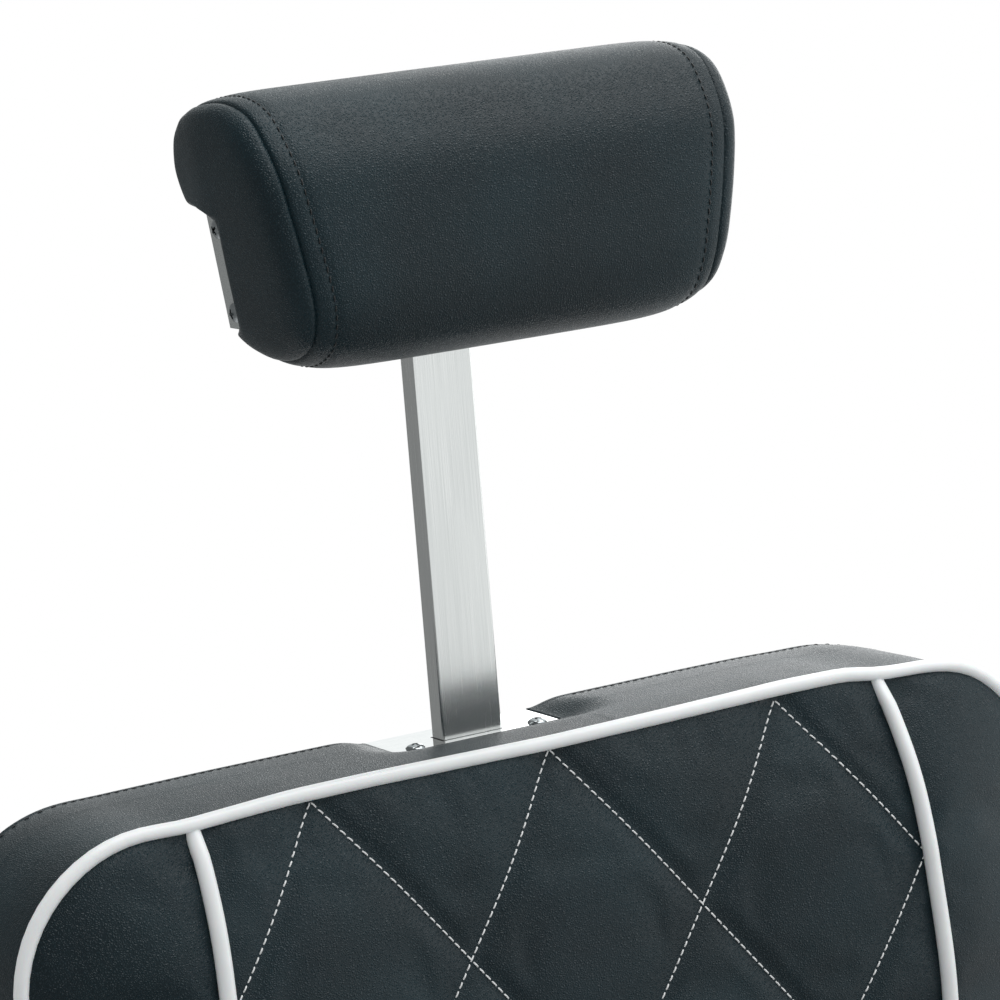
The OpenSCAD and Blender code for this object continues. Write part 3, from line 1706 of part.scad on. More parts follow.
base_plate();
edge_trim();
base_cover();
pump_body();
pump_bolts();
pump_shroud();
pump_collar();
column_bush();
pedal_bracket();
pedal_pin();
pedal_arm();
pedal_pad();
piston_column();
thrust_washer();
seat_mount();
rail_left();
rail_right();
front_crossbar();
rear_crossbar();
frame_bolts();
seat_board();
seat_cushion();
seat_piping();
arm_frame_left();
arm_frame_right();
arm_pad_left();
arm_pad_right();
hinge_bracket_left();
hinge_bracket_right();
hinge_pins();
strut_pin();
footrest_bar_left();
footrest_bar_right();
footrest_pins();
foot_plate();
foot_treads();
strut_cylinder();
strut_rod();
recline_lever();
lever_knob();
back_iron_left();
back_iron_right();
back_cross_tube();
crank_pin();
back_board();
back_battens();
back_rear_panel();
back_cushion();
back_piping();
top_plate();
plate_screws();
post_guide();
guide_sleeve();
headrest_post();
headrest_tray();
headrest_core();
headrest_cushion();
headrest_screws();
headrest_bolts();
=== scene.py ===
# %% [markdown]
# # A salon chair for brow threading
# The chair has a quilted back and seat with white piping, a headrest on a flat steel bar, loop
# arms, a footrest and a round base with a pump. The construction comes packed from CAD. Here the
# hard parts get their finishes, and every upholstered part is made again with its seams, stitches
# and soft shape. Sizes are in millimetres and are turned to metres where a mesh is made.

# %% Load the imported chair
import json
import math

import bmesh
import bpy
import numpy as np
from mathutils import Matrix, Vector
from mathutils.bvhtree import BVHTree


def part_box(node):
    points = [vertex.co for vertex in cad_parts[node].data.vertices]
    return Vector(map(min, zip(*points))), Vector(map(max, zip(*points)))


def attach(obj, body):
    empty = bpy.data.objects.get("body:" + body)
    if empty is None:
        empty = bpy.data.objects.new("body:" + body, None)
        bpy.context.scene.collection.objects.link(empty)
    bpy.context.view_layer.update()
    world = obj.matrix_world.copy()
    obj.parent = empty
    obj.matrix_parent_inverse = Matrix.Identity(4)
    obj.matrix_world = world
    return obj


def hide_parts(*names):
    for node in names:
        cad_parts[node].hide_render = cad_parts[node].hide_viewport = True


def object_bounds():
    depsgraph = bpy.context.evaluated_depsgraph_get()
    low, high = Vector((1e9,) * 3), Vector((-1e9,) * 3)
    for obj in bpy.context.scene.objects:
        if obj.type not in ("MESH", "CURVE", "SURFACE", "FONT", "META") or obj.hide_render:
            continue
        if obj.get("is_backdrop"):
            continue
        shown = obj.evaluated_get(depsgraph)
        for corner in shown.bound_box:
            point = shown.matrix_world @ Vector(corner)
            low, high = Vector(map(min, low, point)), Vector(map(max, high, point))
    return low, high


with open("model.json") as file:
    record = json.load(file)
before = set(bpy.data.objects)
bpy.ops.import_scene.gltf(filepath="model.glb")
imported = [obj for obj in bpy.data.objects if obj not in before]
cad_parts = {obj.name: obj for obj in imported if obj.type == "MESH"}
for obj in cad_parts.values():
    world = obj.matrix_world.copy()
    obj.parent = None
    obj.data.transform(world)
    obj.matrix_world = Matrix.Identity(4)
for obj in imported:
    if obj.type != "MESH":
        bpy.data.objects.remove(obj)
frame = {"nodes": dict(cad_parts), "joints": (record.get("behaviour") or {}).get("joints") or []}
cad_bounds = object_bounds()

nodes = frame["nodes"]

# %% [markdown]
# ## The backrest's own directions
# The backrest leans back by 8.8 degrees, so its cushion, plate and bar are easier to place along
# their own directions than along Y and Z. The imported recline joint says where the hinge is, and
# the foot of the bar lies a known distance from it.

# %% Directions and the foot of the bar
MM = 0.001
LEAN = math.radians(8.8)
FOOT_AHEAD, FOOT_ABOVE = 13, 600
FORWARD = Vector((0, -math.cos(LEAN), math.sin(LEAN)))
UPWARD = Vector((0, math.sin(LEAN), math.cos(LEAN)))
SIDEWAYS = Vector((1, 0, 0))
hinge = Vector(next(j for j in frame["joints"] if j["name"] == "back_recline")["pos_m"])
bar_foot = hinge + FOOT_AHEAD * MM * FORWARD + FOOT_ABOVE * MM * UPWARD


def placing(origin, across, along, out):
    """A matrix from millimetres in a piece's own directions to metres in the chair's frame."""
    m = Matrix((across, along, out)).transposed().to_4x4()
    return Matrix.Translation(origin) @ m @ Matrix.Scale(MM, 4)


print("foot of the bar:", [round(c, 4) for c in bar_foot])

# %% [markdown]
# ## The camera
# The photograph looks down on the headrest from the front left with a long lens. The bar is a
# usual 30 x 10 mm flat bar, which sets the distance; the edges of the bar and the rows of
# piping set the angles. The lens comes from the focal length in pixels of a 1000 pixel frame.

# %% Camera
azimuth, elevation = math.radians(-31.5), math.radians(17.7)
distance, focal_px, frame_px, sensor_mm = 1980, 4537, 1000, 36
foot_px = (473, 734.5)
back = Vector((math.sin(azimuth) * math.cos(elevation), -math.cos(azimuth) * math.cos(elevation),
               math.sin(elevation)))
right = Vector((math.cos(azimuth), math.sin(azimuth), 0))
above = back.cross(right)
aside = (frame_px / 2 - foot_px[0]) / focal_px * distance
higher = (foot_px[1] - frame_px / 2) / focal_px * distance
camera_data = bpy.data.cameras.new("camera")
camera_data.sensor_width = sensor_mm
camera_data.lens = sensor_mm * focal_px / frame_px
camera_data.clip_end = 40
camera = bpy.data.objects.new("camera", camera_data)
bpy.context.scene.collection.objects.link(camera)
camera.matrix_world = Matrix.Translation(
    bar_foot + MM * (distance * back + aside * right + higher * above)
) @ Matrix((right, above, back)).transposed().to_4x4()
bpy.context.scene.camera = camera
print("camera at", [round(c, 3) for c in camera.location], "lens", round(camera_data.lens, 1))

# %% [markdown]
# ## Colours and nodes
# Colours are written as sRGB hex values, as a maker would note them, and one function turns them
# to the linear values that a shader works in. One function adds any node, with its settings,
# its links from other nodes and, on a colour ramp, its stops. Most finishes are then a colour
# that wanders between two tones and a relief, and one function gives both to a shader.

# %% Helpers for materials


def linear(hex_colour):
    """Linear RGBA of an sRGB hex value."""
    channels = [int(hex_colour[k:k + 2], 16) / 255 for k in (1, 3, 5)]
    return [c / 12.92 if c <= 0.04045 else ((c + 0.055) / 1.055) ** 2.4 for c in channels] + [1]


def add_node(tree, kind, settings=None, links=None, stops=()):
    """A new node. Settings name its properties or inputs, links join outputs to its inputs, and
    stops are the (place, hex colour) pairs of a colour ramp."""
    made = tree.nodes.new(kind)
    for key, value in (settings or {}).items():
        if isinstance(key, str) and hasattr(made, key):
            setattr(made, key, value)
        else:
            made.inputs[key].default_value = value
    for key, output in (links or {}).items():
        tree.links.new(output, made.inputs[key])
    for k, (place, colour) in enumerate(stops):
        stop = made.color_ramp.elements[k]
        stop.position, stop.color = place, linear(colour)
    return made


def start_material(name, shader_settings):
    """A material with one Principled shader: the material, its tree, the shader, and the place
    on the object that its patterns follow."""
    material = bpy.data.materials.new(name)
    material.use_nodes = True
    tree = material.node_tree
    tree.nodes.clear()
    shader = add_node(tree, "ShaderNodeBsdfPrincipled", shader_settings)
    add_node(tree, "ShaderNodeOutputMaterial", links={"Surface": shader.outputs["BSDF"]})
    place = add_node(tree, "ShaderNodeTexCoord").outputs["Object"]
    return material, tree, shader, place


def colour_and_relief(tree, shader, tone, stops, height, strength, depth_mm):
    """Colours a shader by one pattern, between two stops, and raises it by the same or another."""
    colour = add_node(tree, "ShaderNodeValToRGB", links={"Fac": tone}, stops=stops)
    tree.links.new(colour.outputs["Color"], shader.inputs["Base Color"])
    relief = add_node(tree, "ShaderNodeBump", {"Strength": strength, "Distance": depth_mm * MM},
                      {"Height": height})
    tree.links.new(relief.outputs["Normal"], shader.inputs["Normal"])


print("white is", linear("#ffffff"))

# %% [markdown]
# ## Upholstery vinyl
# The cover is PVC-coated fabric: a knitted backing with a soft PVC skin that was embossed with a
# leather grain. The skin is near black with a cold green-blue cast. The grain is a net of fine
# creases round pebbles of about a millimetre, so small highlights break up, and the skin is a
# little glossier on the pebbles than in the creases. The creases are also painted darker, as painted
# shade in the hollows of the grain. Cells from a Voronoi texture, bent by noise, give such a net; a
# weaker and larger noise gives the slow change of tone over a stretched cover.

# %% Vinyl
GRAIN_MM, GRAIN_DEPTH_MM, SAG_DEPTH_MM = 1.05, 0.25, 0.2


def vinyl(name, dark, light, roughness=0.35):
    material, tree, shader, place = start_material(
        name, {"IOR": 1.5, "Roughness": roughness, "Specular IOR Level": 0.25})
    bend = add_node(tree, "ShaderNodeTexNoise", {"Scale": 380, "Detail": 2}, {"Vector": place})
    bent = add_node(tree, "ShaderNodeMix", {"data_type": "VECTOR", "Factor": 0.0014},
                    {"A": place, "B": bend.outputs["Color"]})
    pebbles = add_node(tree, "ShaderNodeTexVoronoi",
                       {"feature": "DISTANCE_TO_EDGE", "Scale": 1 / (GRAIN_MM * MM)},
                       {"Vector": bent.outputs["Result"]})
    creases = add_node(tree, "ShaderNodeMapRange", {"From Max": 0.2},
                       {"Value": pebbles.outputs["Distance"]})
    domes = add_node(tree, "ShaderNodeMapRange",
                     {"From Max": 0.55, "interpolation_type": "SMOOTHERSTEP"},
                     {"Value": pebbles.outputs["Distance"]})
    slow = add_node(tree, "ShaderNodeTexNoise", {"Scale": 16, "Detail": 3}, {"Vector": place})
    tone = add_node(tree, "ShaderNodeValToRGB", links={"Fac": slow.outputs["Fac"]},
                    stops=[(0.35, dark), (0.7, light)])
    # Painted shade: the colour is darkened in the creases of the grain.
    painted_crease_shade = add_node(tree, "ShaderNodeMix",
                           {"data_type": "RGBA", "blend_type": "MULTIPLY", "Factor": 0.4},
                           {"A": tone.outputs["Color"], "B": creases.outputs["Result"]})
    tree.links.new(painted_crease_shade.outputs["Result"], shader.inputs["Base Color"])
    gloss = add_node(tree, "ShaderNodeMapRange",
                     {"To Min": roughness + 0.14, "To Max": roughness - 0.05},
                     {"Value": creases.outputs["Result"]})
    tree.links.new(gloss.outputs["Result"], shader.inputs["Roughness"])
    grain = add_node(tree, "ShaderNodeBump", {"Strength": 1.0, "Distance": GRAIN_DEPTH_MM * MM},
                     {"Height": domes.outputs["Result"]})
    soft = add_node(tree, "ShaderNodeTexNoise", {"Scale": 150, "Detail": 3}, {"Vector": place})
    sag = add_node(tree, "ShaderNodeBump", {"Strength": 0.6, "Distance": SAG_DEPTH_MM * MM},
                   {"Height": soft.outputs["Fac"], "Normal": grain.outputs["Normal"]})
    tree.links.new(sag.outputs["Normal"], shader.inputs["Normal"])
    return material


cover_vinyl = vinyl("upholstery vinyl", "#13242a", "#172d34")
rear_vinyl = vinyl("upholstery vinyl, rear panel", "#0d1d22", "#11252b", 0.38)
print("vinyl grain:", GRAIN_MM, "mm")

# %% [markdown]
# ## Piping and thread
# The piping is a cord wrapped in smooth white PVC and sewn into the seam. It is glossier than the
# cover and slightly cold in tone. The quilting thread is bonded white polyester and the seams of
# the headrest are sewn in black. A thread is two or three twisted strands, so a fine slanted wave
# across it gives its twist; the same wave paints the grooves between the strands darker, as
# painted shade.

# %% Piping and thread


def piping_vinyl():
    material, tree, shader, place = start_material(
        "white piping vinyl", {"IOR": 1.5, "Roughness": 0.34, "Specular IOR Level": 0.5,
                               "Subsurface Weight": 0.08, "Subsurface Scale": 0.002})
    slow = add_node(tree, "ShaderNodeTexNoise", {"Scale": 60, "Detail": 3}, {"Vector": place})
    fine = add_node(tree, "ShaderNodeTexNoise", {"Scale": 420, "Detail": 2}, {"Vector": place})
    colour_and_relief(tree, shader, slow.outputs["Fac"], [(0.3, "#ebeff0"), (0.7, "#f1f4f5")],
                      fine.outputs["Fac"], 0.35, 0.12)
    return material


def sewing_thread(name, dark, light):
    material, tree, shader, place = start_material(
        name, {"IOR": 1.5, "Roughness": 0.55, "Sheen Weight": 0.2, "Sheen Roughness": 0.4})
    twist_and_groove_shade = add_node(tree, "ShaderNodeTexWave", {"Scale": 900, "bands_direction": "DIAGONAL"},
                     {"Vector": place})
    # Painted shade: the twist's grooves between the strands get the darker colour.
    colour_and_relief(tree, shader, twist_and_groove_shade.outputs["Fac"], [(0.2, dark), (0.7, light)],
                      twist_and_groove_shade.outputs["Fac"], 0.5, 0.1)
    return material


white_piping = piping_vinyl()
white_thread = sewing_thread("white polyester thread", "#d9dede", "#fbfcfc")
black_thread = sewing_thread("black polyester thread", "#07090a", "#15191b")

# %% [markdown]
# ## Metals
# Bright work is stainless steel. The flat bars were linished along their length, which leaves
# scratches that run the whole way and spread highlights across them. The plate and the column
# were polished to a mirror. Fasteners are zinc plated and slightly milky. The frame under the
# seat is steel with a black powder coat, whose fine orange peel softens its reflections. A metal
# keeps the default IOR; its tone, roughness and marks make the difference.

# %% Metal finishes


def stainless(name, dark, light, roughness, streak_axis=None, lean=0.0, anisotropy=0.0):
    """Stainless steel. Streaks run along an axis for a brushed finish, none for a polish."""
    material, tree, shader, place = start_material(
        name, {"Metallic": 1, "Roughness": roughness, "Anisotropic": anisotropy})
    if streak_axis is None:
        scale, depth_mm = (260, 260, 260), 0.004
    else:
        scale, depth_mm = [3600 if k != streak_axis else 14 for k in range(3)], 0.012
    turned = add_node(tree, "ShaderNodeMapping", {"Rotation": (lean, 0, 0)}, {"Vector": place})
    streaks = add_node(tree, "ShaderNodeMapping", {"Scale": scale},
                       {"Vector": turned.outputs["Vector"]})
    marks = add_node(tree, "ShaderNodeTexNoise", {"Scale": 1, "Detail": 4, "Roughness": 0.65},
                     {"Vector": streaks.outputs["Vector"]})
    spread = add_node(tree, "ShaderNodeMapRange",
                      {"To Min": 0.8 * roughness, "To Max": 1.25 * roughness},
                      {"Value": marks.outputs["Fac"]})
    tree.links.new(spread.outputs["Result"], shader.inputs["Roughness"])
    colour_and_relief(tree, shader, marks.outputs["Fac"], [(0.3, dark), (0.7, light)],
                      marks.outputs["Fac"], 0.4, depth_mm)
    return material


def coated_steel(name, dark, light, roughness, peel_mm=1.1):
    """Steel under a powder coat: a smooth skin with orange peel of about a millimetre."""
    material, tree, shader, place = start_material(name, {"IOR": 1.5, "Roughness": roughness})
    peel = add_node(tree, "ShaderNodeTexNoise", {"Scale": 1 / (peel_mm * MM), "Detail": 1},
                    {"Vector": place})
    slow = add_node(tree, "ShaderNodeTexNoise", {"Scale": 25, "Detail": 4}, {"Vector": place})
    colour_and_relief(tree, shader, slow.outputs["Fac"], [(0.3, dark), (0.75, light)],
                      peel.outputs["Fac"], 0.3, 0.05)
    return material


bar_steel = stainless("linished stainless, headrest bar", "#d0d2d1", "#e6e7e6", 0.25, 2, LEAN, 0.5)
tray_steel = stainless("linished stainless, headrest tray", "#c6cac9", "#dfe1e0", 0.28, 0, LEAN, 0.4)
arm_steel = stainless("linished stainless, arms", "#adafaf", "#d2d4d4", 0.3, 1, 0.0, 0.4)
foot_steel = stainless("linished stainless, footrest", "#aaacac", "#cfd1d1", 0.32, 0, 0.0, 0.4)
mirror_steel = stainless("mirror polished stainless", "#eceeee", "#f5f6f6", 0.035)
zinc_plate = stainless("zinc plated steel", "#9da2a6", "#c3c8cb", 0.3)
screw_steel = stainless("bright stainless screw", "#8d9294", "#b2b7b9", 0.14)
dark_iron = stainless("machined iron, oiled", "#3c3d3f", "#5a5c5e", 0.42)
bush_brass = stainless("turned brass", "#b08a45", "#d0aa62", 0.3)
frame_coat = coated_steel("black powder coat", "#141517", "#1c1e20", 0.42)
strut_coat = coated_steel("black strut enamel", "#0e0f11", "#15171a", 0.25, 2.5)
print("materials so far:", len(bpy.data.materials))

# %% [markdown]
# ## Rubber, plastic and wood
# Treads, the pedal pad and the base's edge are moulded rubber, matt and slightly grey from
# handling. The knob and the collar are injection moulded plastic with a fine spark texture. The
# boards are birch plywood: pale, with long grain and thin dark glue lines at the edge.

# %% Rubber, plastic and wood


def moulded(name, dark, light, roughness, texture_mm, depth_mm):
    material, tree, shader, place = start_material(name, {"IOR": 1.5, "Roughness": roughness})
    spark = add_node(tree, "ShaderNodeTexNoise", {"Scale": 1 / (texture_mm * MM), "Detail": 2},
                     {"Vector": place})
    slow = add_node(tree, "ShaderNodeTexNoise", {"Scale": 30, "Detail": 4}, {"Vector": place})
    colour_and_relief(tree, shader, slow.outputs["Fac"], [(0.3, dark), (0.75, light)],
                      spark.outputs["Fac"], 0.4, depth_mm)
    return material


def birch_plywood():
    material, tree, shader, place = start_material("birch plywood",
                                                   {"IOR": 1.5, "Roughness": 0.6})
    stretch = add_node(tree, "ShaderNodeMapping", {"Scale": (6, 160, 160)}, {"Vector": place})
    grain = add_node(tree, "ShaderNodeTexNoise", {"Scale": 1, "Detail": 6, "Roughness": 0.6},
                     {"Vector": stretch.outputs["Vector"]})
    colour_and_relief(tree, shader, grain.outputs["Fac"], [(0.3, "#b58f5f"), (0.7, "#d8b98c")],
                      grain.outputs["Fac"], 0.3, 0.1)
    return material


rubber = moulded("moulded black rubber", "#17181a", "#212224", 0.68, 0.9, 0.06)
black_plastic = moulded("spark textured black ABS", "#141517", "#1b1c1e", 0.45, 0.7, 0.05)
nylon = moulded("natural nylon", "#d6d0c0", "#e2dccd", 0.4, 1.5, 0.02)
plywood = birch_plywood()

# %% [markdown]
# ## Finishes for the CAD nodes
# Hard parts keep their CAD shapes. Each gets the finish of the real piece, node by node, because
# one slot of the record can hold pieces that were brushed in different directions.

# %% Give the hard parts their finishes
finish_of = {
    frame_coat: "base_plate seat_mount rail_left rail_right front_crossbar rear_crossbar "
                "hinge_bracket_left hinge_bracket_right back_iron_left back_iron_right back_cross_tube",
    mirror_steel: "base_cover pump_shroud pedal_arm piston_column strut_rod recline_lever top_plate",
    dark_iron: "pump_body pedal_bracket post_guide",
    zinc_plate: "pump_bolts pedal_pin frame_bolts hinge_pins strut_pin footrest_pins crank_pin",
    bush_brass: "column_bush thrust_washer",
    arm_steel: "arm_frame_left arm_frame_right",
    foot_steel: "footrest_bar_left footrest_bar_right foot_plate",
    bar_steel: "headrest_post",
    tray_steel: "headrest_tray",
    rubber: "edge_trim pedal_pad foot_treads",
    black_plastic: "pump_collar lever_knob",
    nylon: "guide_sleeve",
    plywood: "seat_board back_board back_battens headrest_core",
    strut_coat: "strut_cylinder",
    rear_vinyl: "back_rear_panel",
}
for material, names in finish_of.items():
    for name in names.split():
        nodes[name].data.materials.clear()
        nodes[name].data.materials.append(material)
print("nodes with a finish:", sum(len(n.split()) for n in finish_of.values()))

# %% [markdown]
# ## Making meshes
# Upholstery is made from grids of points. A grid can be drawn in the piece's own millimetres,
# turned by its placing matrix, and kept smooth by a subdivision surface. The helpers below make a
# mesh, the faces of a grid, and a piece that rides on its body with its finish.

# %% Helpers for meshes


def make_object(name, points, faces, placing_matrix):
    """A smooth mesh object from points in millimetres of the piece's own directions."""
    p = np.asarray(points, float)
    m = np.array(placing_matrix)
    p = p @ m[:3, :3].T + m[:3, 3]
    mesh = bpy.data.meshes.new(name)
    mesh.from_pydata(p.tolist(), [], faces)
    mesh.polygons.foreach_set("use_smooth", [True] * len(mesh.polygons))
    made = bpy.data.objects.new(name, mesh)
    bpy.context.scene.collection.objects.link(made)
    return made


def grid_faces(rows, cols, round_cols=False, first=0):
    """Faces of a grid of points that is stored row by row."""
    last = cols if round_cols else cols - 1
    return [
        (first + r * cols + c, first + (r + 1) * cols + c,
         first + (r + 1) * cols + (c + 1) % cols, first + r * cols + (c + 1) % cols)
        for r in range(rows - 1) for c in range(last)
    ]


def settle_mesh(piece):
    """Replaces the piece's mesh by the result of its modifiers."""
    seen = piece.evaluated_get(bpy.context.evaluated_depsgraph_get())
    mesh = bpy.data.meshes.new_from_object(seen)
    piece.modifiers.clear()
    old = piece.data
    piece.data = mesh
    bpy.data.meshes.remove(old)


def subdivide(piece, levels=1):
    """Rounds a piece with a subdivision surface and keeps the result."""
    piece.modifiers.new("round", "SUBSURF").levels = levels
    settle_mesh(piece)


def finish_piece(piece, body, material, replaces=()):
    """Gives a piece its finish and its body, and hides the CAD parts that it replaces."""
    piece.data.materials.clear()
    piece.data.materials.append(material)
    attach(piece, body)
    if replaces:
        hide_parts(*replaces)
    print(f"{piece.name}: {len(piece.data.polygons)} faces on {body}")


# %% [markdown]
# ## Stuffing by cloth simulation
# A sewn cover swells between its seams. Blender's cloth does that: the points on seams and
# stitched lines are pinned, pressure pushes the rest out, and the movement is capped so that the
# cushion keeps its size. The sheet may be a little larger than its frame, which gives the small
# puckers beside the stitches.

# %% Cloth with held seams


def stuff(piece, held, out, pressure, cap_mm, spare=0.01, frames=16):
    """Swells a cover by simulation. held marks pinned points, out is the way it may move."""
    scene = bpy.context.scene
    group = piece.vertex_groups.new(name="held")
    group.add([int(k) for k in np.flatnonzero(held)], 1.0, "REPLACE")
    cloth = piece.modifiers.new("stuffing", "CLOTH")
    sewn = cloth.settings
    sewn.quality = 6
    sewn.mass = 0.25
    sewn.tension_stiffness = sewn.compression_stiffness = 18
    sewn.shear_stiffness = 8
    sewn.bending_stiffness = 1.2
    sewn.air_damping = 4
    sewn.shrink_min = -spare
    sewn.use_pressure = True
    sewn.uniform_pressure_force = pressure
    sewn.vertex_group_mass = "held"
    sewn.effector_weights.gravity = 0
    cloth.collision_settings.use_collision = False
    for k in range(1, frames + 1):
        scene.frame_set(k)
    seen = piece.evaluated_get(bpy.context.evaluated_depsgraph_get())
    count = len(piece.data.vertices)
    before, after = np.empty(count * 3), np.empty(count * 3)
    piece.data.vertices.foreach_get("co", before)
    seen.data.vertices.foreach_get("co", after)
    move = np.nan_to_num((after - before).reshape(-1, 3))
    piece.modifiers.clear()
    piece.vertex_groups.clear()
    scene.frame_set(1)
    length = np.linalg.norm(move, axis=1, keepdims=True) + 1e-9
    cap = cap_mm * MM
    move *= cap * np.tanh(length / cap) / length
    piece.data.vertices.foreach_set("co", (before.reshape(-1, 3) + move).ravel())
    piece.data.update()
    print(f"{piece.name}: stuffed by up to {float(np.abs(move @ np.array(out)).max()) / MM:.1f} mm")


# %% [markdown]
# ## The quilted pads
# Back and seat are made alike: a board, foam with a crown that rolls over at the edges, and a
# cover of sewn panels. The middle panel is quilted in diamonds, three across and three and a half
# high, with a plain panel on each side. On the back a diamond is 116 mm wide and 152 mm high. A
# pad is drawn flat: x across, w up from its far edge, h out of its board. The height is the
# seam's height plus a crown that rises softly from the piping, less the valleys along the
# stitching. The photograph's stitch rows and cords gave the crown's height at twenty places: it
# is lower in the middle, and on the back it grows towards the small of the back.

# %% A pad and its surface
SIDE_PANEL, PIPING_ROOM = 76.5, 3
CORNER_R, CROWN, ROLL = 62, 26.5, 39
DISH, DISH_HALF, DISH_BLEND = 4.3, 50, 115
LUMBAR, LUMBAR_START, LUMBAR_BLEND, LUMBAR_END, LUMBAR_FADE = 6, 60, 80, 330, 130
EDGE_PUFF, PUFF_RUN, LINE_CLEAR, PANEL_CLEAR = 3.2, 11, 13, 14
VALLEY, VALLEY_RUN, VALLEY_END = 2, 5, 4
SEAM_DIP, SEAM_RUN, SEAM_DRIFT = 1.4, 4.5, 6.8
ON_SEAM = 0.1
STEPS = 15
PULL_PLACES = [-240, -214, -184, -158, -125, -90, -45, 0, 45, 90, 120, 158, 176, 190, 206, 222, 240]
PULLS = [0, -0.3, -2.4, -1.1, 0.5, 0.7, 0.2, -0.4, 0.2, 1.0, 1.8, 1.2, -1.6, -2.9, -2.4, 0.4, 1.6]
PULL_REACH, PULL_HALF, PULL_PASSES, PULL_WINDOW, PULL_FADE, LEAST_PULL = 14, 260, 2, 11, 70, 0.25
DRIFT_START, DRIFT_EDGE, DRIFT_REACH, DRIFT_POWER, DRIFT_LOW = 125, 4, 75, 1.3, 0.3


def smooth_step(value):
    """Rises from 0 to 1 with a soft start and end."""
    value = np.clip(value, 0, 1)
    return value * value * (3 - 2 * value)


class Pad:
    """Half the width, the length, the heights of the seam above the board and of the skirt below
    it, and the matrix from the pad's millimetres to the chair. Only the back is waved."""

    def __init__(self, name, body, half, length, seam, skirt, matrix, waved=False):
        self.name, self.body, self.half, self.length = name, body, half, length
        self.seam, self.skirt, self.matrix, self.waved = seam, skirt, matrix, waved
        self.panel = half - SIDE_PANEL
        self.quilt = self.panel - PIPING_ROOM
        self.half_w = self.quilt / 3
        self.half_h = (length - 2 * PIPING_ROOM) / 7

    def edge_distance(self, x, w):
        """Distance inside the rounded outline."""
        qx = np.abs(x) - (self.half - CORNER_R)
        qw = np.abs(w + self.length / 2) - (self.length / 2 - CORNER_R)
        corner = np.hypot(np.maximum(qx, 0), np.maximum(qw, 0))
        return CORNER_R - np.where((qx > 0) & (qw > 0), corner, np.maximum(qx, qw))

    def line_distance(self, x, w):
        """Distance to the nearest stitched diagonal."""
        u, v = x / self.half_w, -(w + PIPING_ROOM) / self.half_h
        unit = self.half_w * self.half_h / math.hypot(self.half_w, self.half_h)
        near = [np.abs((k + 1) % 2 - 1) for k in (u - v, u + v)]
        return np.minimum(near[0], near[1]) * unit

    def on_quilt(self, x):
        return np.abs(x) <= self.quilt + ON_SEAM

    def height(self, x, w):
        """Height of the cover above the board."""
        inside = np.maximum(self.edge_distance(x, w), 0)
        rise = 1 - np.exp(-(inside / ROLL) ** 1.5)
        low_middle = DISH * (1 - smooth_step((np.abs(x) - DISH_HALF) / DISH_BLEND))
        down = -w if self.waved else 0 * w
        fuller = (LUMBAR * smooth_step((down - LUMBAR_START) / LUMBAR_BLEND)
                  * (1 - smooth_step((down - LUMBAR_END) / LUMBAR_FADE)))
        off_line, off_panel = self.line_distance(x, w), np.abs(x) - self.panel
        free = 1 - np.exp(-(off_line / LINE_CLEAR) ** 2) * self.on_quilt(x)
        free = free * (1 - np.exp(-(off_panel / PANEL_CLEAR) ** 2))
        puff = EDGE_PUFF * inside / PUFF_RUN * np.exp(1 - inside / PUFF_RUN) * free
        valley = VALLEY * np.exp(-(off_line / VALLEY_RUN) ** 2) * self.on_quilt(x)
        seam = SEAM_DIP * np.exp(-(off_panel / SEAM_RUN) ** 2) * rise
        drawn_in = np.maximum(valley * np.minimum(1, inside / VALLEY_END), seam)
        return self.seam + (CROWN - low_middle) * rise + fuller + puff - drawn_in

    def wave(self, points):
        """Pulls the far edge down where the panel seams end, and draws the panel seams a little
        together towards it, as the sewn cover does."""
        p = np.array(points, float)
        if self.waved:
            fine = np.linspace(-PULL_HALF, PULL_HALF, 2 * PULL_HALF + 1)
            smooth = np.interp(fine, PULL_PLACES, PULLS, left=0, right=0)
            window = np.ones(PULL_WINDOW) / PULL_WINDOW
            for _ in range(PULL_PASSES):
                smooth = np.convolve(np.pad(smooth, PULL_WINDOW // 2, mode="edge"), window, "valid")
            reach = np.exp(-np.maximum(0, -p[:, 1]) / PULL_REACH)
            reach *= np.clip((p[:, 2] + self.skirt) / PULL_FADE, LEAST_PULL, 1)
            p[:, 1] += np.interp(p[:, 0], fine, smooth) * reach
            places = [0, DRIFT_START, self.panel, self.half - DRIFT_EDGE]
            beside = np.interp(np.abs(p[:, 0]), places, [0, 0, 1, 0])
            pulled_down = np.maximum(0, -p[:, 1])
            drift = DRIFT_LOW - SEAM_DRIFT * np.exp(-(pulled_down / DRIFT_REACH) ** DRIFT_POWER)
            p[:, 0] += np.sign(p[:, 0]) * beside * drift
        return p


BACK_CREST, BOARD_FRONT = 6.7, 5
SEAT_REAR, SEAT_BOARD_TOP = 236, 395
back_top = bar_foot + BACK_CREST * MM * UPWARD + BOARD_FRONT * MM * FORWARD
seat_back = Vector((0, SEAT_REAR * MM, SEAT_BOARD_TOP * MM))
back_pad = Pad("back", "backrest", half=253.5, length=539, seam=59, skirt=28,
               matrix=placing(back_top, SIDEWAYS, UPWARD, FORWARD), waved=True)
seat_pad = Pad("seat", "seat", half=258, length=510, seam=80, skirt=13,
               matrix=placing(seat_back, SIDEWAYS, Vector((0, 1, 0)), Vector((0, 0, 1))))
for pad in (back_pad, seat_pad):
    print(pad.name, "diamonds:", round(2 * pad.half_w, 1), "by", round(2 * pad.half_h, 1), "mm")

# %% [markdown]
# ## The quilted face
# The face needs a grid whose points lie exactly on the stitched diagonals, or the valleys would
# come out as steps. In the middle panel the grid is 15 steps to a half diamond both ways. The
# side panels end in round corners, so their points are blended between the panel seam and the
# outline, which mathematicians call a Coons patch. Steps get finer towards the edge, where the
# cover rolls over into the piping.

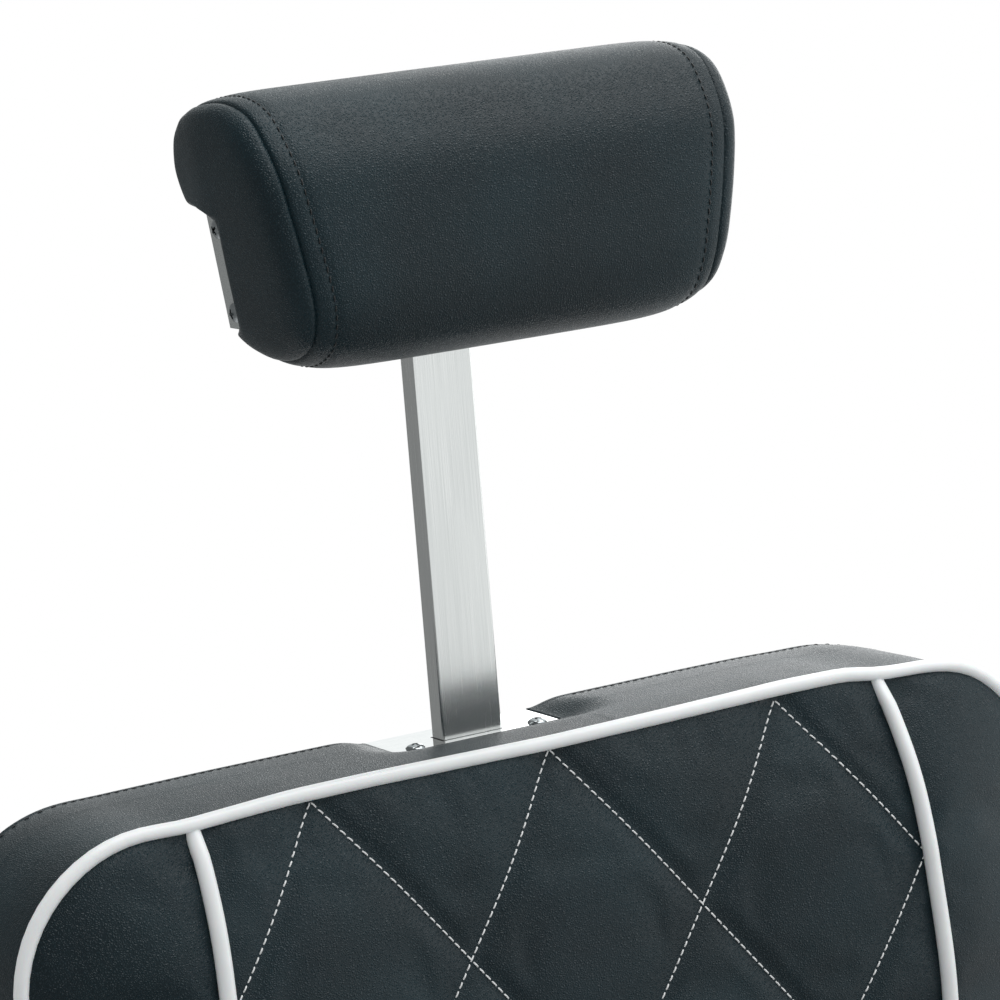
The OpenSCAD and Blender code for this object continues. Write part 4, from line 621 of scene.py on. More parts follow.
# %% Grid of the face
SIDE_STEPS = [1.4, 3.0, 5.2, 8.2, 12, 17, 23, 30, 37, 44, 51, 57, 62, 66.4, 70, 72.8, 74.8, 76]
EDGE_ROWS, SEAM_STEP = [1.2, 2.1], 1.4


def face_grid(pad):
    """Points (x, w) of the face, row by row, and the rows and columns."""
    inset = SIDE_PANEL - SIDE_STEPS[-1]
    radius = CORNER_R - inset
    cx = pad.half - CORNER_R
    straight, arc = cx - pad.panel, radius * math.pi / 4
    quilt_rows = PIPING_ROOM + np.arange(7 * STEPS + 1) * pad.half_h / STEPS
    edge_rows = np.array([inset] + EDGE_ROWS)
    rows_w = np.concatenate([edge_rows, quilt_rows, pad.length - edge_rows[::-1]])

    def far(s):
        """The far edge at a share of its run, along the straight and half the corner."""
        run = s * (straight + arc)
        a = math.pi / 2 - max(0, run - straight) / radius
        return np.array([pad.panel + run if run < straight else cx + radius * math.cos(a),
                         radius * math.sin(a) - CORNER_R])

    def flip(q):
        return np.array([q[0], -pad.length - q[1]])

    def side(w):
        """The outline beside a row, at its distance from the far edge."""
        row = min(w, pad.length - w)
        if row < CORNER_R:
            a = math.pi / 4 * (1 - (row - inset) / (CORNER_R - inset))
            q = np.array([cx + radius * math.cos(a), radius * math.sin(a) - CORNER_R])
        else:
            q = np.array([pad.half - inset, -row])
        return q if row == w else flip(q)

    middle = np.arange(-3 * STEPS, 3 * STEPS + 1) * pad.half_w / STEPS
    seam_cols = [pad.panel, pad.panel - SEAM_STEP]
    middle = np.concatenate([-np.array(seam_cols), middle, seam_cols[::-1]])
    points = []
    corner, inner = far(1), np.array([pad.panel, -inset])
    for w in rows_w:
        r = (w - inset) / (pad.length - 2 * inset)
        outer, seam = side(w), np.array([pad.panel, -w])
        patch = [
            (1 - s) * seam + s * outer + (1 - r) * far(s) + r * flip(far(s))
            - (1 - r) * ((1 - s) * inner + s * corner) - r * ((1 - s) * flip(inner) + s * flip(corner))
            for s in (step / SIDE_STEPS[-1] for step in SIDE_STEPS)
        ]
        points += [(-q[0], q[1]) for q in reversed(patch)]
        points += [(x, -w) for x in middle]
        points += [tuple(q) for q in patch]
    return np.array(points), len(rows_w), len(middle) + 2 * len(SIDE_STEPS)


# %% Make a quilted face
TUCK_IN, TUCK_DOWN = 3.5, 3
LINE_HELD, SEAM_HELD, EDGE_HELD = 0.4, 0.5, 3


def quilted_face(pad):
    flat, rows, cols = face_grid(pad)
    x, w = flat[:, 0], flat[:, 1]
    points = np.column_stack([x, w, pad.height(x, w)])
    border = list(range(cols)) + [r * cols + cols - 1 for r in range(1, rows)]
    border += [(rows - 1) * cols + c for c in range(cols - 2, -1, -1)]
    border += [r * cols for r in range(rows - 2, 0, -1)]
    inward = np.array([0, -pad.length / 2]) - points[border, :2]
    tuck = points[border].copy()
    tuck[:, :2] += TUCK_IN * inward / np.linalg.norm(inward, axis=1)[:, None]
    tuck[:, 2] = pad.seam - TUCK_DOWN
    first, count = len(points), len(border)
    faces = grid_faces(rows, cols)
    faces += [(border[k], border[(k + 1) % count], first + (k + 1) % count, first + k)
              for k in range(count)]
    points = np.vstack([points, tuck])
    made = make_object(f"{pad.name}_face", pad.wave(points), faces, pad.matrix)
    on_line = (pad.line_distance(x, w) < LINE_HELD) & pad.on_quilt(x)
    on_seam = np.abs(np.abs(x) - pad.panel) < SEAM_HELD
    held = on_line | on_seam | (pad.edge_distance(x, w) < EDGE_HELD)
    out = np.array(pad.matrix.to_3x3().col[2]) / MM
    stuff(made, np.concatenate([held, np.ones(count, bool)]), out, pressure=1.6, cap_mm=2.2)
    subdivide(made)
    finish_piece(made, pad.body, cover_vinyl, [f"{pad.name}_cushion"])
    return made


back_face = quilted_face(back_pad)
seat_face = quilted_face(seat_pad)

# %% [markdown]
# ## Boxing, the band round the sides
# A strip of the same vinyl closes the sides, from the piping to a hem behind. It is drawn in at
# both seams and a little full between them, with slight puckers where the piping gathers it. It
# is a loft: one cross-section, given as inset and height, carried round the outline. At the top
# of the back the steel plate lies in a notch. The band falls towards the plate from the front
# and from both sides, turns down round its edges and is cut away under it.

# %% Outline and band
NOTCH_FRONT, NOTCH_REAR, NOTCH_SLOPE, NOTCH_DEEP, NOTCH_CUT = 41.4, 41.6, 20, 6.3, 10.5
PLATE_FRONT, FALL_START, BEYOND_NOTCH = 0.6, 27, 80
NOTCH_SHARES = [0, 0.25, 0.5, 0.7, 0.83, 0.92, 0.965, 0.985, 1.0, 1.012, 1.035, 1.08, 1.15, 1.25,
                1.37, 1.5, 1.65]
EDGE_PLACES, SIDE_PLACES, CORNER_PLACES, NOTCH_SIDE_PLACES = 48, 54, 15, 22
NOTCH_MARGIN, REAR_BLEND = 0.3, 12
PUCKER, PUCKER_RUN, PUCKERS, PUCKER_SHIFT, SHIFTS = 0.28, 16, 29, 1.3, 5


def outline_points(pad, notch):
    """Places round the outline: point, outward direction, and where it lies across the notch."""
    cx, r, length = pad.half - CORNER_R, CORNER_R, pad.length
    if notch:
        left = np.linspace(-cx, -BEYOND_NOTCH, NOTCH_SIDE_PLACES)
        shares = [-s for s in NOTCH_SHARES[:0:-1]] + NOTCH_SHARES
        places = [(x, 0, 0, 1, None) for x in left]
        places += [(0, 0, 0, 1, share) for share in shares]
        places += [(-x, 0, 0, 1, None) for x in left[::-1]]
    else:
        places = [(x, 0, 0, 1, None) for x in np.linspace(-cx, cx, EDGE_PLACES)]

    def corner(x, w, start):
        turns = np.radians(np.linspace(start, start - 90, CORNER_PLACES)[1:-1])
        return [(x + r * math.cos(a), w + r * math.sin(a), math.cos(a), math.sin(a), None) for a in turns]

    sides = np.linspace(-r, r - length, SIDE_PLACES)
    places += corner(cx, -r, 90)
    places += [(pad.half, w, 1, 0, None) for w in sides]
    places += corner(cx, r - length, 0)
    places += [(x, -length, 0, -1, None) for x in np.linspace(cx, -cx, EDGE_PLACES)]
    places += corner(-cx, r - length, -90)
    places += [(-pad.half, w, -1, 0, None) for w in sides[::-1]]
    places += corner(-cx, -r, 180)
    return places


def band_section(pad):
    """Inset and height of the band from under the piping to the hem, and back behind it."""
    top, low = pad.seam, -pad.skirt
    rows = [(3.4, top - 1.2), (1.3, top - 2.2), (0.5, top - 3.8), (0.3, top - 6.5)]
    rows += [(0.1, top - share * (top - low)) for share in (0.14, 0.22, 0.3, 0.37)]
    if pad.waved:
        rows += [(0.2, 22), (0.4, 15), (0.6, 8), (0.8, 3.2), (0.8, 1.8), (0.8, 1.1), (0.8, 0.5),
                 (0.8, -0.3), (0.9, -2), (1.1, -6), (1.5, -12), (2.1, -18)]
    else:
        rows += [(-0.4, share * top) for share in (0.5, 0.34, 0.18, 0.04)]
        rows += [(0.6, 0.5 * low)]
    rows += [(3.0, low + 4.8), (3.6, low + 3.8), (3.1, low + 2.8), (3.2, low + 1.2), (4.0, low + 0.2),
             (5.2, low + 0.4), (5.8, low + 2), (6.0, low + 5)]
    return rows


def notch_fall(x, h, edge, inset):
    """How far the band falls towards the plate, and down past its edges."""
    if abs(x) < edge - NOTCH_MARGIN and h < PLATE_FRONT:
        return NOTCH_CUT
    near = smooth_step((edge + NOTCH_SLOPE - abs(x)) / NOTCH_SLOPE)
    towards = smooth_step((FALL_START - h) / (FALL_START - PLATE_FRONT))
    behind = smooth_step(-h / REAR_BLEND)
    return (NOTCH_DEEP - inset) * towards * near ** (1 + behind)


def boxing(pad, notch):
    places, section = outline_points(pad, notch), band_section(pad)
    points = []
    for inset, h in section:
        behind = min(1, max(0, (PLATE_FRONT - h) / pad.skirt))
        edge = NOTCH_FRONT + (NOTCH_REAR - NOTCH_FRONT) * behind
        pucker = PUCKER * math.exp(-(pad.seam - h) / PUCKER_RUN)
        for k, (x, w, nx, nw, share) in enumerate(places):
            turn = k / len(places) * 2 * math.pi
            wander = PUCKER_SHIFT * math.sin(SHIFTS * turn)
            drawn = inset + pucker * math.sin(PUCKERS * turn + wander)
            x = x if share is None else share * edge
            fall = 0 if share is None else notch_fall(x, h, edge, inset)
            points.append((x - nx * drawn, w - nw * drawn - fall, h))
    count = len(places)
    cut = [share is not None and abs(share) < 0.99 for *_, share in places]
    faces = [
        face[::-1] for face in grid_faces(len(section), count, round_cols=True)
        if not (all(cut[v % count] for v in face)
                and all(section[v // count][1] < PLATE_FRONT - 0.05 for v in face))
    ]
    made = make_object(f"{pad.name}_boxing", pad.wave(points), faces, pad.matrix)
    subdivide(made)
    finish_piece(made, pad.body, cover_vinyl)
    return made


back_boxing = boxing(back_pad, True)
seat_boxing = boxing(seat_pad, False)

# %% [markdown]
# ## Piping
# A cord of 6 to 7 mm in smooth white vinyl lies in the seam between the face and the band, and two
# more run down the panel seams. A tube swept along the seam is the direct way: a ring of points
# is carried along a path, square to it.

# %% Tubes along a path
OUTER_R, INNER_R, OUT_OF_SEAM = 3.2, 3.6, 0.33
INNER_LIFT, END_DIP, END_RISE = 2.7, 1.4, 15
CORD_END, CORD_SECOND, CORD_FIRST_STEP, CORD_STEP = 0.6, 2.2, 4.5, 4.6
NO_PATH_ALONG = (0.11, 0.07, 1.0)


def tube(path, radius, sides=16, closed=False):
    """Points and faces of a round tube along a path."""
    path = np.asarray(path, float)
    n = len(path)
    ahead = np.roll(path, -1, axis=0) - np.roll(path, 1, axis=0)
    if not closed:
        ahead[0], ahead[-1] = path[1] - path[0], path[-1] - path[-2]
    ahead /= np.linalg.norm(ahead, axis=1)[:, None]
    side = np.cross(ahead, np.array(NO_PATH_ALONG))
    side /= np.linalg.norm(side, axis=1)[:, None]
    up = np.cross(side, ahead)
    points = []
    for k in range(n):
        for m in range(sides):
            a = 2 * math.pi * m / sides
            points.append(path[k] + radius * (math.cos(a) * side[k] + math.sin(a) * up[k]))
    faces = grid_faces(n, sides, round_cols=True)
    if closed:
        faces += [((n - 1) * sides + m, m, (m + 1) % sides, (n - 1) * sides + (m + 1) % sides)
                  for m in range(sides)]
    else:
        faces += [tuple(range(sides - 1, -1, -1)), tuple(range((n - 1) * sides, n * sides))]
    return np.array(points), faces


def outer_piping(pad):
    path = [(x + OUT_OF_SEAM * nx, w + OUT_OF_SEAM * nw, pad.seam + OUT_OF_SEAM)
            for x, w, nx, nw, _ in outline_points(pad, False)]
    return tube(path, OUTER_R, closed=True)


def inner_piping(pad, side):
    """The cord down one panel seam. It dips at both ends, where it is sewn under the outer one."""
    ends = np.array([CORD_END, CORD_SECOND])
    steps = np.arange(CORD_FIRST_STEP, pad.length - 4, CORD_STEP)
    w = -np.concatenate([ends, steps, pad.length - ends[::-1]])
    x = np.full(len(w), side * pad.panel)
    from_end = np.minimum(-w, w + pad.length)
    lift = (INNER_LIFT + END_DIP) * smooth_step((from_end - 1) / END_RISE) - END_DIP
    return tube(np.column_stack([x, w, pad.height(x, w) + lift]), INNER_R)


def piping(pad):
    points, faces, first = [], [], 0
    for tube_points, tube_faces in (outer_piping(pad), inner_piping(pad, -1), inner_piping(pad, 1)):
        points.append(pad.wave(tube_points))
        faces += [tuple(first + k for k in f) for f in tube_faces]
        first += len(tube_points)
    made = make_object(f"{pad.name}_cord", np.vstack(points), faces, pad.matrix)
    finish_piece(made, pad.body, white_piping, [f"{pad.name}_piping"])


piping(back_pad)
piping(seat_pad)

# %% [markdown]
# ## Stitches
# Each stitch is a short length of thread that comes out of the cover, lies on it and goes back
# in. It is made as a small arched tube, and all the stitches of one seam share a mesh. A ray
# dropped onto the finished cover finds where each one lies, so the stitches follow the stuffed
# surface.

# %% Threads on a surface
THREAD_SIDES, END_THINNER = 6, 0.75
ARCH_SHARES_AND_LIFTS = [(-0.5, -0.35), (-0.36, 0.12), (0, 0.3), (0.36, 0.12), (0.5, -0.35)]


def stitch_mesh(name, centres, along, normals, length, width, matrix):
    """One mesh with an arched thread for each centre, in the piece's millimetres."""
    points, faces = [], []
    for c, a, n in zip(centres, along, normals):
        c, a, n = np.array(c, float), np.array(a, float), np.array(n, float)
        a = a - n * a.dot(n)
        a /= np.linalg.norm(a)
        b = np.cross(n, a)
        first = len(points)
        for share, lift in ARCH_SHARES_AND_LIFTS:
            r = width / 2 * (END_THINNER if abs(share) == 0.5 else 1)
            for m in range(THREAD_SIDES):
                t = 2 * math.pi * m / THREAD_SIDES
                points.append(c + a * share * length + n * (lift + r * math.sin(t)) + b * r * math.cos(t))
        faces += grid_faces(len(ARCH_SHARES_AND_LIFTS), THREAD_SIDES, round_cols=True, first=first)
    return make_object(name, points, [tuple(reversed(f)) for f in faces], matrix)


def surface_tree(piece, matrix):
    """The piece's surface as a search tree in its own millimetres."""
    back_to_mm = matrix.inverted()
    points = [back_to_mm @ v.co for v in piece.data.vertices]
    return BVHTree.FromPolygons(points, [tuple(p.vertices) for p in piece.data.polygons])


def stitch_row(tree, start, end, pitch, down):
    """Centres, directions and normals of stitches between two places, dropped on a surface."""
    start, end = Vector(start), Vector(end)
    count = int((end - start).length / pitch)
    for k in range(count):
        q = start.lerp(end, (k + 0.5) / count)
        hit, normal, _, _ = tree.ray_cast(q, down)
        if hit is not None:
            yield hit, end - start, normal if normal.dot(down) < 0 else -normal


# %% Quilting stitches
STITCH_PITCH, STITCH_LENGTH, THREAD_W = 4.0, 3.2, 0.78
WELL_ABOVE = 200


def quilting(pad, face):
    """White stitches along every diagonal of the middle panel."""
    tree = surface_tree(face, pad.matrix)
    found = []
    for lean in (-1, 1):
        for start in range(-10, 11, 2):
            steps = [u for u in range(-3, 4) if 0 <= lean * (u - start) <= 7]
            if len(steps) > 1:
                ends = [(u * pad.half_w, -PIPING_ROOM - lean * (u - start) * pad.half_h, WELL_ABOVE)
                        for u in (steps[0], steps[-1])]
                found += list(stitch_row(tree, *ends, STITCH_PITCH, Vector((0, 0, -1))))
    made = stitch_mesh(f"{pad.name}_quilting", *zip(*found), STITCH_LENGTH, THREAD_W, pad.matrix)
    finish_piece(made, pad.body, white_thread)
    print("stitches:", len(found))


quilting(back_pad, back_face)
quilting(seat_pad, seat_face)

# %% [markdown]
# ## The hem's seam
# The band ends in a hem that is sewn with dark thread 6 mm from the edge, all the way round the
# rear of the back and the bottom of the seat.

# %% Hem stitches
HEM_UP, HEM_PITCH, HEM_LENGTH, HEM_THREAD_W = 6.2, 3.7, 2.7, 0.6
OUTSIDE, NOTCH_CLEAR = 30, 56


def hem_stitches(pad, band, notch_half):
    tree = surface_tree(band, pad.matrix)
    ring = outline_points(pad, False)
    level = HEM_UP - pad.skirt
    found = []
    for k, (x, w, nx, nw, _) in enumerate(ring):
        x1, w1 = ring[(k + 1) % len(ring)][:2]
        if w == 0 and w1 == 0 and min(abs(x), abs(x1)) < notch_half:
            continue
        n = Vector((nx, nw, 0))
        start, end = (Vector((a, b, level)) + OUTSIDE * n for a, b in ((x, w), (x1, w1)))
        found += list(stitch_row(tree, start, end, HEM_PITCH, -n))
    made = stitch_mesh(f"{pad.name}_hem_thread", *zip(*found), HEM_LENGTH, HEM_THREAD_W, pad.matrix)
    finish_piece(made, pad.body, black_thread)


hem_stitches(back_pad, back_boxing, NOTCH_CLEAR)
hem_stitches(seat_pad, seat_boxing, 0)

# %% [markdown]
# ## The headrest
# The headrest is a foam roll with a flat front, a lobe that hangs over the steel tray and two end
# panels. Its ends taper towards the bottom. The wrap is a loft of one section, forward and up
# from the bar, carried across with a width that follows the height. Between its end seams the
# foam swells past the seam's section, and the third number at each corner of the section says
# how far. The end panels are the same section drawn together towards the middle and puffed out,
# less beside the tray, whose end flange with its two screws stays in sight.
# The cover is sewn at the ends with black thread, and topstitched 8 mm inside the seam.

# %% Section of the headrest
HEAD_HEIGHTS = [183.5, 190, 202, 216, 230, 248, 260, 274, 285, 290]
HEAD_HALVES = [95.6, 95.9, 97.2, 99.4, 102.2, 105.6, 107.4, 109, 109.8, 110.4]
TOPSTITCH = 8
TRAY_LOW, TRAY_TOP = 192, 242
TRAY_LOW_HALF, TRAY_TOP_HALF = 94.0, 100.5
FLANGE_CLEAR, FLANGE_FLARE, PAST_TRAY = 0.3, 0.58, 16
PAST_TOP, PAST_TOP_BLEND, PAST_LOW, PAST_LOW_BLEND = 240, 12, 194, 9
tray_spread = (TRAY_TOP_HALF - TRAY_LOW_HALF) / (TRAY_TOP - TRAY_LOW)


def head_half(v):
    return np.interp(v, HEAD_HEIGHTS, HEAD_HALVES)


def beside_tray(t, v):
    """How far a cover may stand out at the ends, so that the flange of the tray stays in sight."""
    flange = TRAY_LOW_HALF + tray_spread * (v - TRAY_LOW)
    past = smooth_step((v - PAST_TOP) / PAST_TOP_BLEND) + smooth_step((PAST_LOW - v) / PAST_LOW_BLEND)
    return flange + FLANGE_CLEAR + FLANGE_FLARE * np.maximum(t, 0) + PAST_TRAY * past


def through(points, fine):
    """A smooth curve through points (Catmull-Rom), with fine steps between them."""
    p = np.array(points, float)
    p = np.vstack([2 * p[0] - p[1], p, 2 * p[-1] - p[-2]])
    curve = []
    for k in range(1, len(p) - 2):
        for s in np.arange(fine) / fine:
            curve.append(0.5 * (2 * p[k] + (p[k + 1] - p[k - 1]) * s
                                + (2 * p[k - 1] - 5 * p[k] + 4 * p[k + 1] - p[k + 2]) * s ** 2
                                + (3 * p[k] - p[k - 1] - 3 * p[k + 1] + p[k + 2]) * s ** 3))
    curve.append(p[-2])
    return np.array(curve)


front = through([(-4, 284.4, 2.2), (11, 289.2, 2.6), (34, 290.9, 2.6), (52, 286.0, 2.6),
                 (63, 274.6, 2.6), (70.5, 260.5, 3.0), (73, 245, 3.0), (74, 228, 3.0),
                 (73.5, 210, 3.8), (70, 198.2, 4.6), (63.5, 189.5, 5.2), (50.5, 183.5, 5.9),
                 (34.5, 182.0, 5.9), (18.5, 184.5, 4.8), (6, 188.4, 2.0)], 5)
rear = np.array([(1.2, 189.3, 0), (0.4, 191.5, 0), (0.3, 200, 0), (0.3, 212, 0), (0.3, 225, 0),
                 (0.3, 236, 0), (0.2, 241.6, 0), (-0.6, 243.4, 0)])
lobe = through([(-3, 244, 0), (-7.5, 245, 0.4), (-12, 249, 0.8), (-15, 257, 1.2), (-15.5, 266, 1.5),
                (-11.5, 277, 2.0), (-4, 284.4, 2.6)], 4)[:-1]
swelling = np.vstack([front, rear, lobe])
head_section, head_swell = swelling[:, :2], swelling[:, 2]
head_place = placing(bar_foot, SIDEWAYS, UPWARD, FORWARD)
print("points round the headrest:", len(head_section))

# %% Wrap and end panels
WRAP_GAPS = [0, 0.3, 0.7, 1.4, 2.6, 4.2, 5.8, 7, 8, 9, 10.6, 13.5, 17, 22, 28, 36, 46, 58, 72, 88]
MIDDLE_GAP = 100
SEAM_DEEP, SEAM_WIDE, STITCH_DEEP, STITCH_WIDE = 1.5, 0.6, 0.6, 1.4
SLOW_HEIGHTS, SLOWNESS = [184, 200, 230], [10, 9, 7.5]
HELD_SEAM, HELD_STITCH = 3, 1.1
END_CENTRE, END_BULGE = (29.6, 244.6), 11.2
REAR_BULGE_SHARE, REAR_T, BULGE_BLEND = 0.75, -8, 30
END_RINGS = [(1.0, -1.2, 2.2), (0.998, 0.1, 0.8), (0.99, 1.8, 0), (0.977, 3.5, 0), (0.957, 5.2, 0),
             (0.928, 6.8, 0), (0.888, 8.1, 0), (0.83, 9.2, 0), (0.75, 10, 0), (0.64, 10.5, 0),
             (0.5, 10.9, 0), (0.35, 11.1, 0), (0.18, END_BULGE, 0)]


def section_normals(section):
    """Outward directions of the closed section in its plane."""
    run = np.roll(section, -1, axis=0) - np.roll(section, 1, axis=0)
    normal = np.column_stack([-run[:, 1], run[:, 0]])
    normal /= np.linalg.norm(normal, axis=1)[:, None]
    outward = ((section - section.mean(axis=0)) * normal).sum() > 0
    return normal if outward else -normal


def on_tray(t, v, front_t, low, high):
    """Where the section lies against the tray."""
    return (t > -1) & (t < front_t) & (v > low) & (v < high)


head_normals = section_normals(head_section)


def headrest_wrap():
    """The wrap, from seam to seam, as rows at growing distances from each end seam."""
    t, v = head_section[:, 0], head_section[:, 1]
    resting = on_tray(t, v, 0.6, 190, 244)
    slowness = np.interp(v, SLOW_HEIGHTS, SLOWNESS)
    reaches = WRAP_GAPS + [MIDDLE_GAP] + WRAP_GAPS[::-1]
    rows = []
    for k, reach in enumerate(reaches):
        lift = head_swell * (1 - np.exp(-reach / slowness))
        dip = (SEAM_DEEP * math.exp(-(reach / SEAM_WIDE) ** 2)
               + STITCH_DEEP * math.exp(-((reach - TOPSTITCH) / STITCH_WIDE) ** 2))
        out = np.where(resting, 0, lift - dip)
        side = np.sign(k - len(WRAP_GAPS))
        x = side * np.minimum(head_half(v) - reach, beside_tray(t, v))
        rows.append(np.column_stack([x, v + head_normals[:, 1] * out, t + head_normals[:, 0] * out]))
    count = len(head_section)
    faces = grid_faces(len(rows), count, round_cols=True)
    made = make_object("headrest_wrap", np.vstack(rows), faces, head_place)
    reach = np.array(reaches)
    sewn = (reach < HELD_SEAM) | (np.abs(reach - TOPSTITCH) < HELD_STITCH)
    held = np.repeat(sewn, count)
    held = held | np.tile(resting, len(rows))
    stuff(made, held, np.array(FORWARD), pressure=0.5, cap_mm=1.0, spare=0.004)
    subdivide(made)
    finish_piece(made, "headrest", cover_vinyl, ["headrest_cushion"])
    return made


def headrest_end(name, side):
    """An end panel: rings of the section, each given by its share of the section's size, how far
    it bulges, and how far it is sunk under the seam."""
    count, centre = len(head_section), np.array(END_CENTRE)
    rings = []
    for size_share, bulge, sunk in END_RINGS:
        ring = centre + (head_section - centre) * size_share - head_normals * sunk
        t, v = ring[:, 0], ring[:, 1]
        forward = smooth_step((t - REAR_T) / BULGE_BLEND)
        full = bulge * (REAR_BULGE_SHARE + (1 - REAR_BULGE_SHARE) * forward)
        x = side * np.minimum(head_half(v) + full, beside_tray(t, v))
        rings.append(np.column_stack([x, v, t]))
    tip = np.array([[side * (head_half(centre[1]) + END_BULGE), centre[1], centre[0]]])
    last = (len(rings) - 1) * count
    faces = grid_faces(len(rings), count, round_cols=True)
    faces += [(last + k, last + count, last + (k + 1) % count) for k in range(count)]
    if side < 0:
        faces = [face[::-1] for face in faces]
    panel = make_object(name, np.vstack(rings + [tip]), faces, head_place)
    subdivide(panel)
    finish_piece(panel, "headrest", cover_vinyl)


head_wrap = headrest_wrap()
headrest_end("headrest_end_left", -1)
headrest_end("headrest_end_right", 1)

# %% [markdown]
# ## Seams of the headrest
# The topstitch runs round the wrap inside each end seam. The stitches are found by walking
# round the section at an even pitch and dropping each one onto the wrap.

# %% Headrest stitches
HEAD_PITCH, HEAD_STITCH, HEAD_THREAD_W, DROP_FROM = 4.0, 2.9, 0.62, 12


def headrest_stitches():
    tree = surface_tree(head_wrap, head_place)
    closed = np.vstack([head_section, head_section[:1]])
    runs = np.concatenate([[0], np.cumsum(np.linalg.norm(np.diff(closed, axis=0), axis=1))])
    found = []
    for side in (-1, 1):
        for run in np.arange(0, runs[-1], HEAD_PITCH):
            k = min(int(np.searchsorted(runs, run, side="right")) - 1, len(head_section) - 1)
            ahead = closed[k + 1] - closed[k]
            t, v = closed[k] + ahead * (run - runs[k]) / (runs[k + 1] - runs[k])
            if on_tray(t, v, 0.8, 189, 245):
                continue
            out = Vector((0, head_normals[k][1], head_normals[k][0]))
            above_seam = Vector((side * (float(head_half(v)) - TOPSTITCH), v, t)) + DROP_FROM * out
            hit, normal, _, _ = tree.ray_cast(above_seam, -out)
            if hit is not None:
                normal = normal if normal.dot(out) > 0 else -normal
                found.append((hit, Vector((0, ahead[1], ahead[0])), normal))
    made = stitch_mesh("headrest_topstitch", *zip(*found), HEAD_STITCH, HEAD_THREAD_W, head_place)
    finish_piece(made, "headrest", black_thread)


headrest_stitches()

# %% [markdown]
# ## Screws with a cross recess
# The plate and the tray are held by small pan head screws. A head is turned from a profile and
# its driver recess is cut by a boolean, which gives the crisp edges that catch the light. One
# head is made and copied to each place.

# %% Pan heads
HEAD_R, HEAD_RISE, HEAD_SIDES = 4.3, 2.1, 40
FIRST_TURN, NEXT_TURN = 17, 31
HEAD_PROFILE_SHARES = [(0.25, 0.97), (0.45, 0.89), (0.62, 0.77), (0.77, 0.62), (0.88, 0.45),
                       (0.96, 0.25), (1.0, 0.05), (0.97, 0)]
RECESS_LEVELS = [(0.4, 1.6, 0.5), (4, 3.0, 0.75)]


def pan_head():
    """Mesh data of one head with its recess, axis along Z, seat at Z = 0, in millimetres."""
    sides, points = HEAD_SIDES, [(0, 0, HEAD_RISE)]
    for share, rise in HEAD_PROFILE_SHARES:
        for m in range(sides):
            a = 2 * math.pi * m / sides
            points.append((share * HEAD_R * math.cos(a), share * HEAD_R * math.sin(a), rise * HEAD_RISE))
    rows = len(HEAD_PROFILE_SHARES)
    faces = [(0, 1 + m, 1 + (m + 1) % sides) for m in range(sides)]
    faces += grid_faces(rows, sides, round_cols=True, first=1)
    faces.append(tuple(1 + (rows - 1) * sides + m for m in range(sides - 1, -1, -1)))
    head = make_object("head", points, faces, Matrix.Identity(4))
    box = [(3, 2, 1, 0), (4, 5, 6, 7), (0, 1, 5, 4), (1, 2, 6, 5), (2, 3, 7, 6), (3, 0, 4, 7)]
    for turn in (0, 90):
        bar = [(sx * half_l, sy * half_w, z) for z, half_l, half_w in RECESS_LEVELS
               for sx, sy in ((-1, -1), (1, -1), (1, 1), (-1, 1))]
        cutter = make_object("cutter", bar, box, Matrix.Rotation(math.radians(turn), 4, "Z"))
        cut = head.modifiers.new("recess", "BOOLEAN")
        cut.object, cut.operation, cut.solver = cutter, "DIFFERENCE", "EXACT"
        settle_mesh(head)
        bpy.data.objects.remove(cutter)
    mesh = head.data
    bpy.data.objects.remove(head)
    mesh.polygons.foreach_set("use_smooth", [False] * len(mesh.polygons))
    return mesh


def screw_group(name, node, places, matrix, body):
    """Copies of the head at (place, axis) in the piece's millimetres, as one object."""
    gathered = bmesh.new()
    for k, (place, axis) in enumerate(places):
        one = bmesh.new()
        one.from_mesh(pan_mesh)
        turn = Vector((0, 0, 1)).rotation_difference(Vector(axis)).to_matrix().to_4x4()
        spin = Matrix.Rotation(math.radians(FIRST_TURN + NEXT_TURN * k), 4, "Z")
        bmesh.ops.transform(one, matrix=Matrix.Translation(place) @ turn @ spin, verts=one.verts)
        part = bpy.data.meshes.new("part")
        one.to_mesh(part)
        gathered.from_mesh(part)
        one.free()
        bpy.data.meshes.remove(part)
    bmesh.ops.transform(gathered, matrix=matrix, verts=gathered.verts)
    mesh = bpy.data.meshes.new(name)
    gathered.to_mesh(mesh)
    gathered.free()
    made = bpy.data.objects.new(name, mesh)
    bpy.context.scene.collection.objects.link(made)
    finish_piece(made, body, screw_steel, [node])


pan_mesh = pan_head()
TRAY_PITCH, BOLT_PITCH = 36, 24
PLATE_SCREW_X, PLATE_SCREW_SHIFT, PLATE_SCREW_Z = 31, 0.6, 2.2
END_SCREW_T, BOLT_T = -4.6, -12
tray_mid = (TRAY_LOW + TRAY_TOP) / 2
tray_half = (TRAY_TOP_HALF + TRAY_LOW_HALF) / 2
slope = math.atan(tray_spread)
screw_group("plate_screw_heads", "plate_screws",
            [((s * PLATE_SCREW_X + PLATE_SCREW_SHIFT, 0, PLATE_SCREW_Z), (0, 1, 0)) for s in (-1, 1)],
            head_place, "backrest")
screw_group("tray_end_screw_heads", "headrest_screws",
            [((s * (tray_half + d * tray_spread), tray_mid + d, END_SCREW_T),
              (s * math.cos(slope), -math.sin(slope), 0))
             for s in (-1, 1) for d in (-TRAY_PITCH / 2, TRAY_PITCH / 2)], head_place, "headrest")
screw_group("tray_back_screw_heads", "headrest_bolts",
            [((0, tray_mid + d, BOLT_T), (0, 0, -1)) for d in (-BOLT_PITCH / 2, BOLT_PITCH / 2)],
            head_place, "headrest")

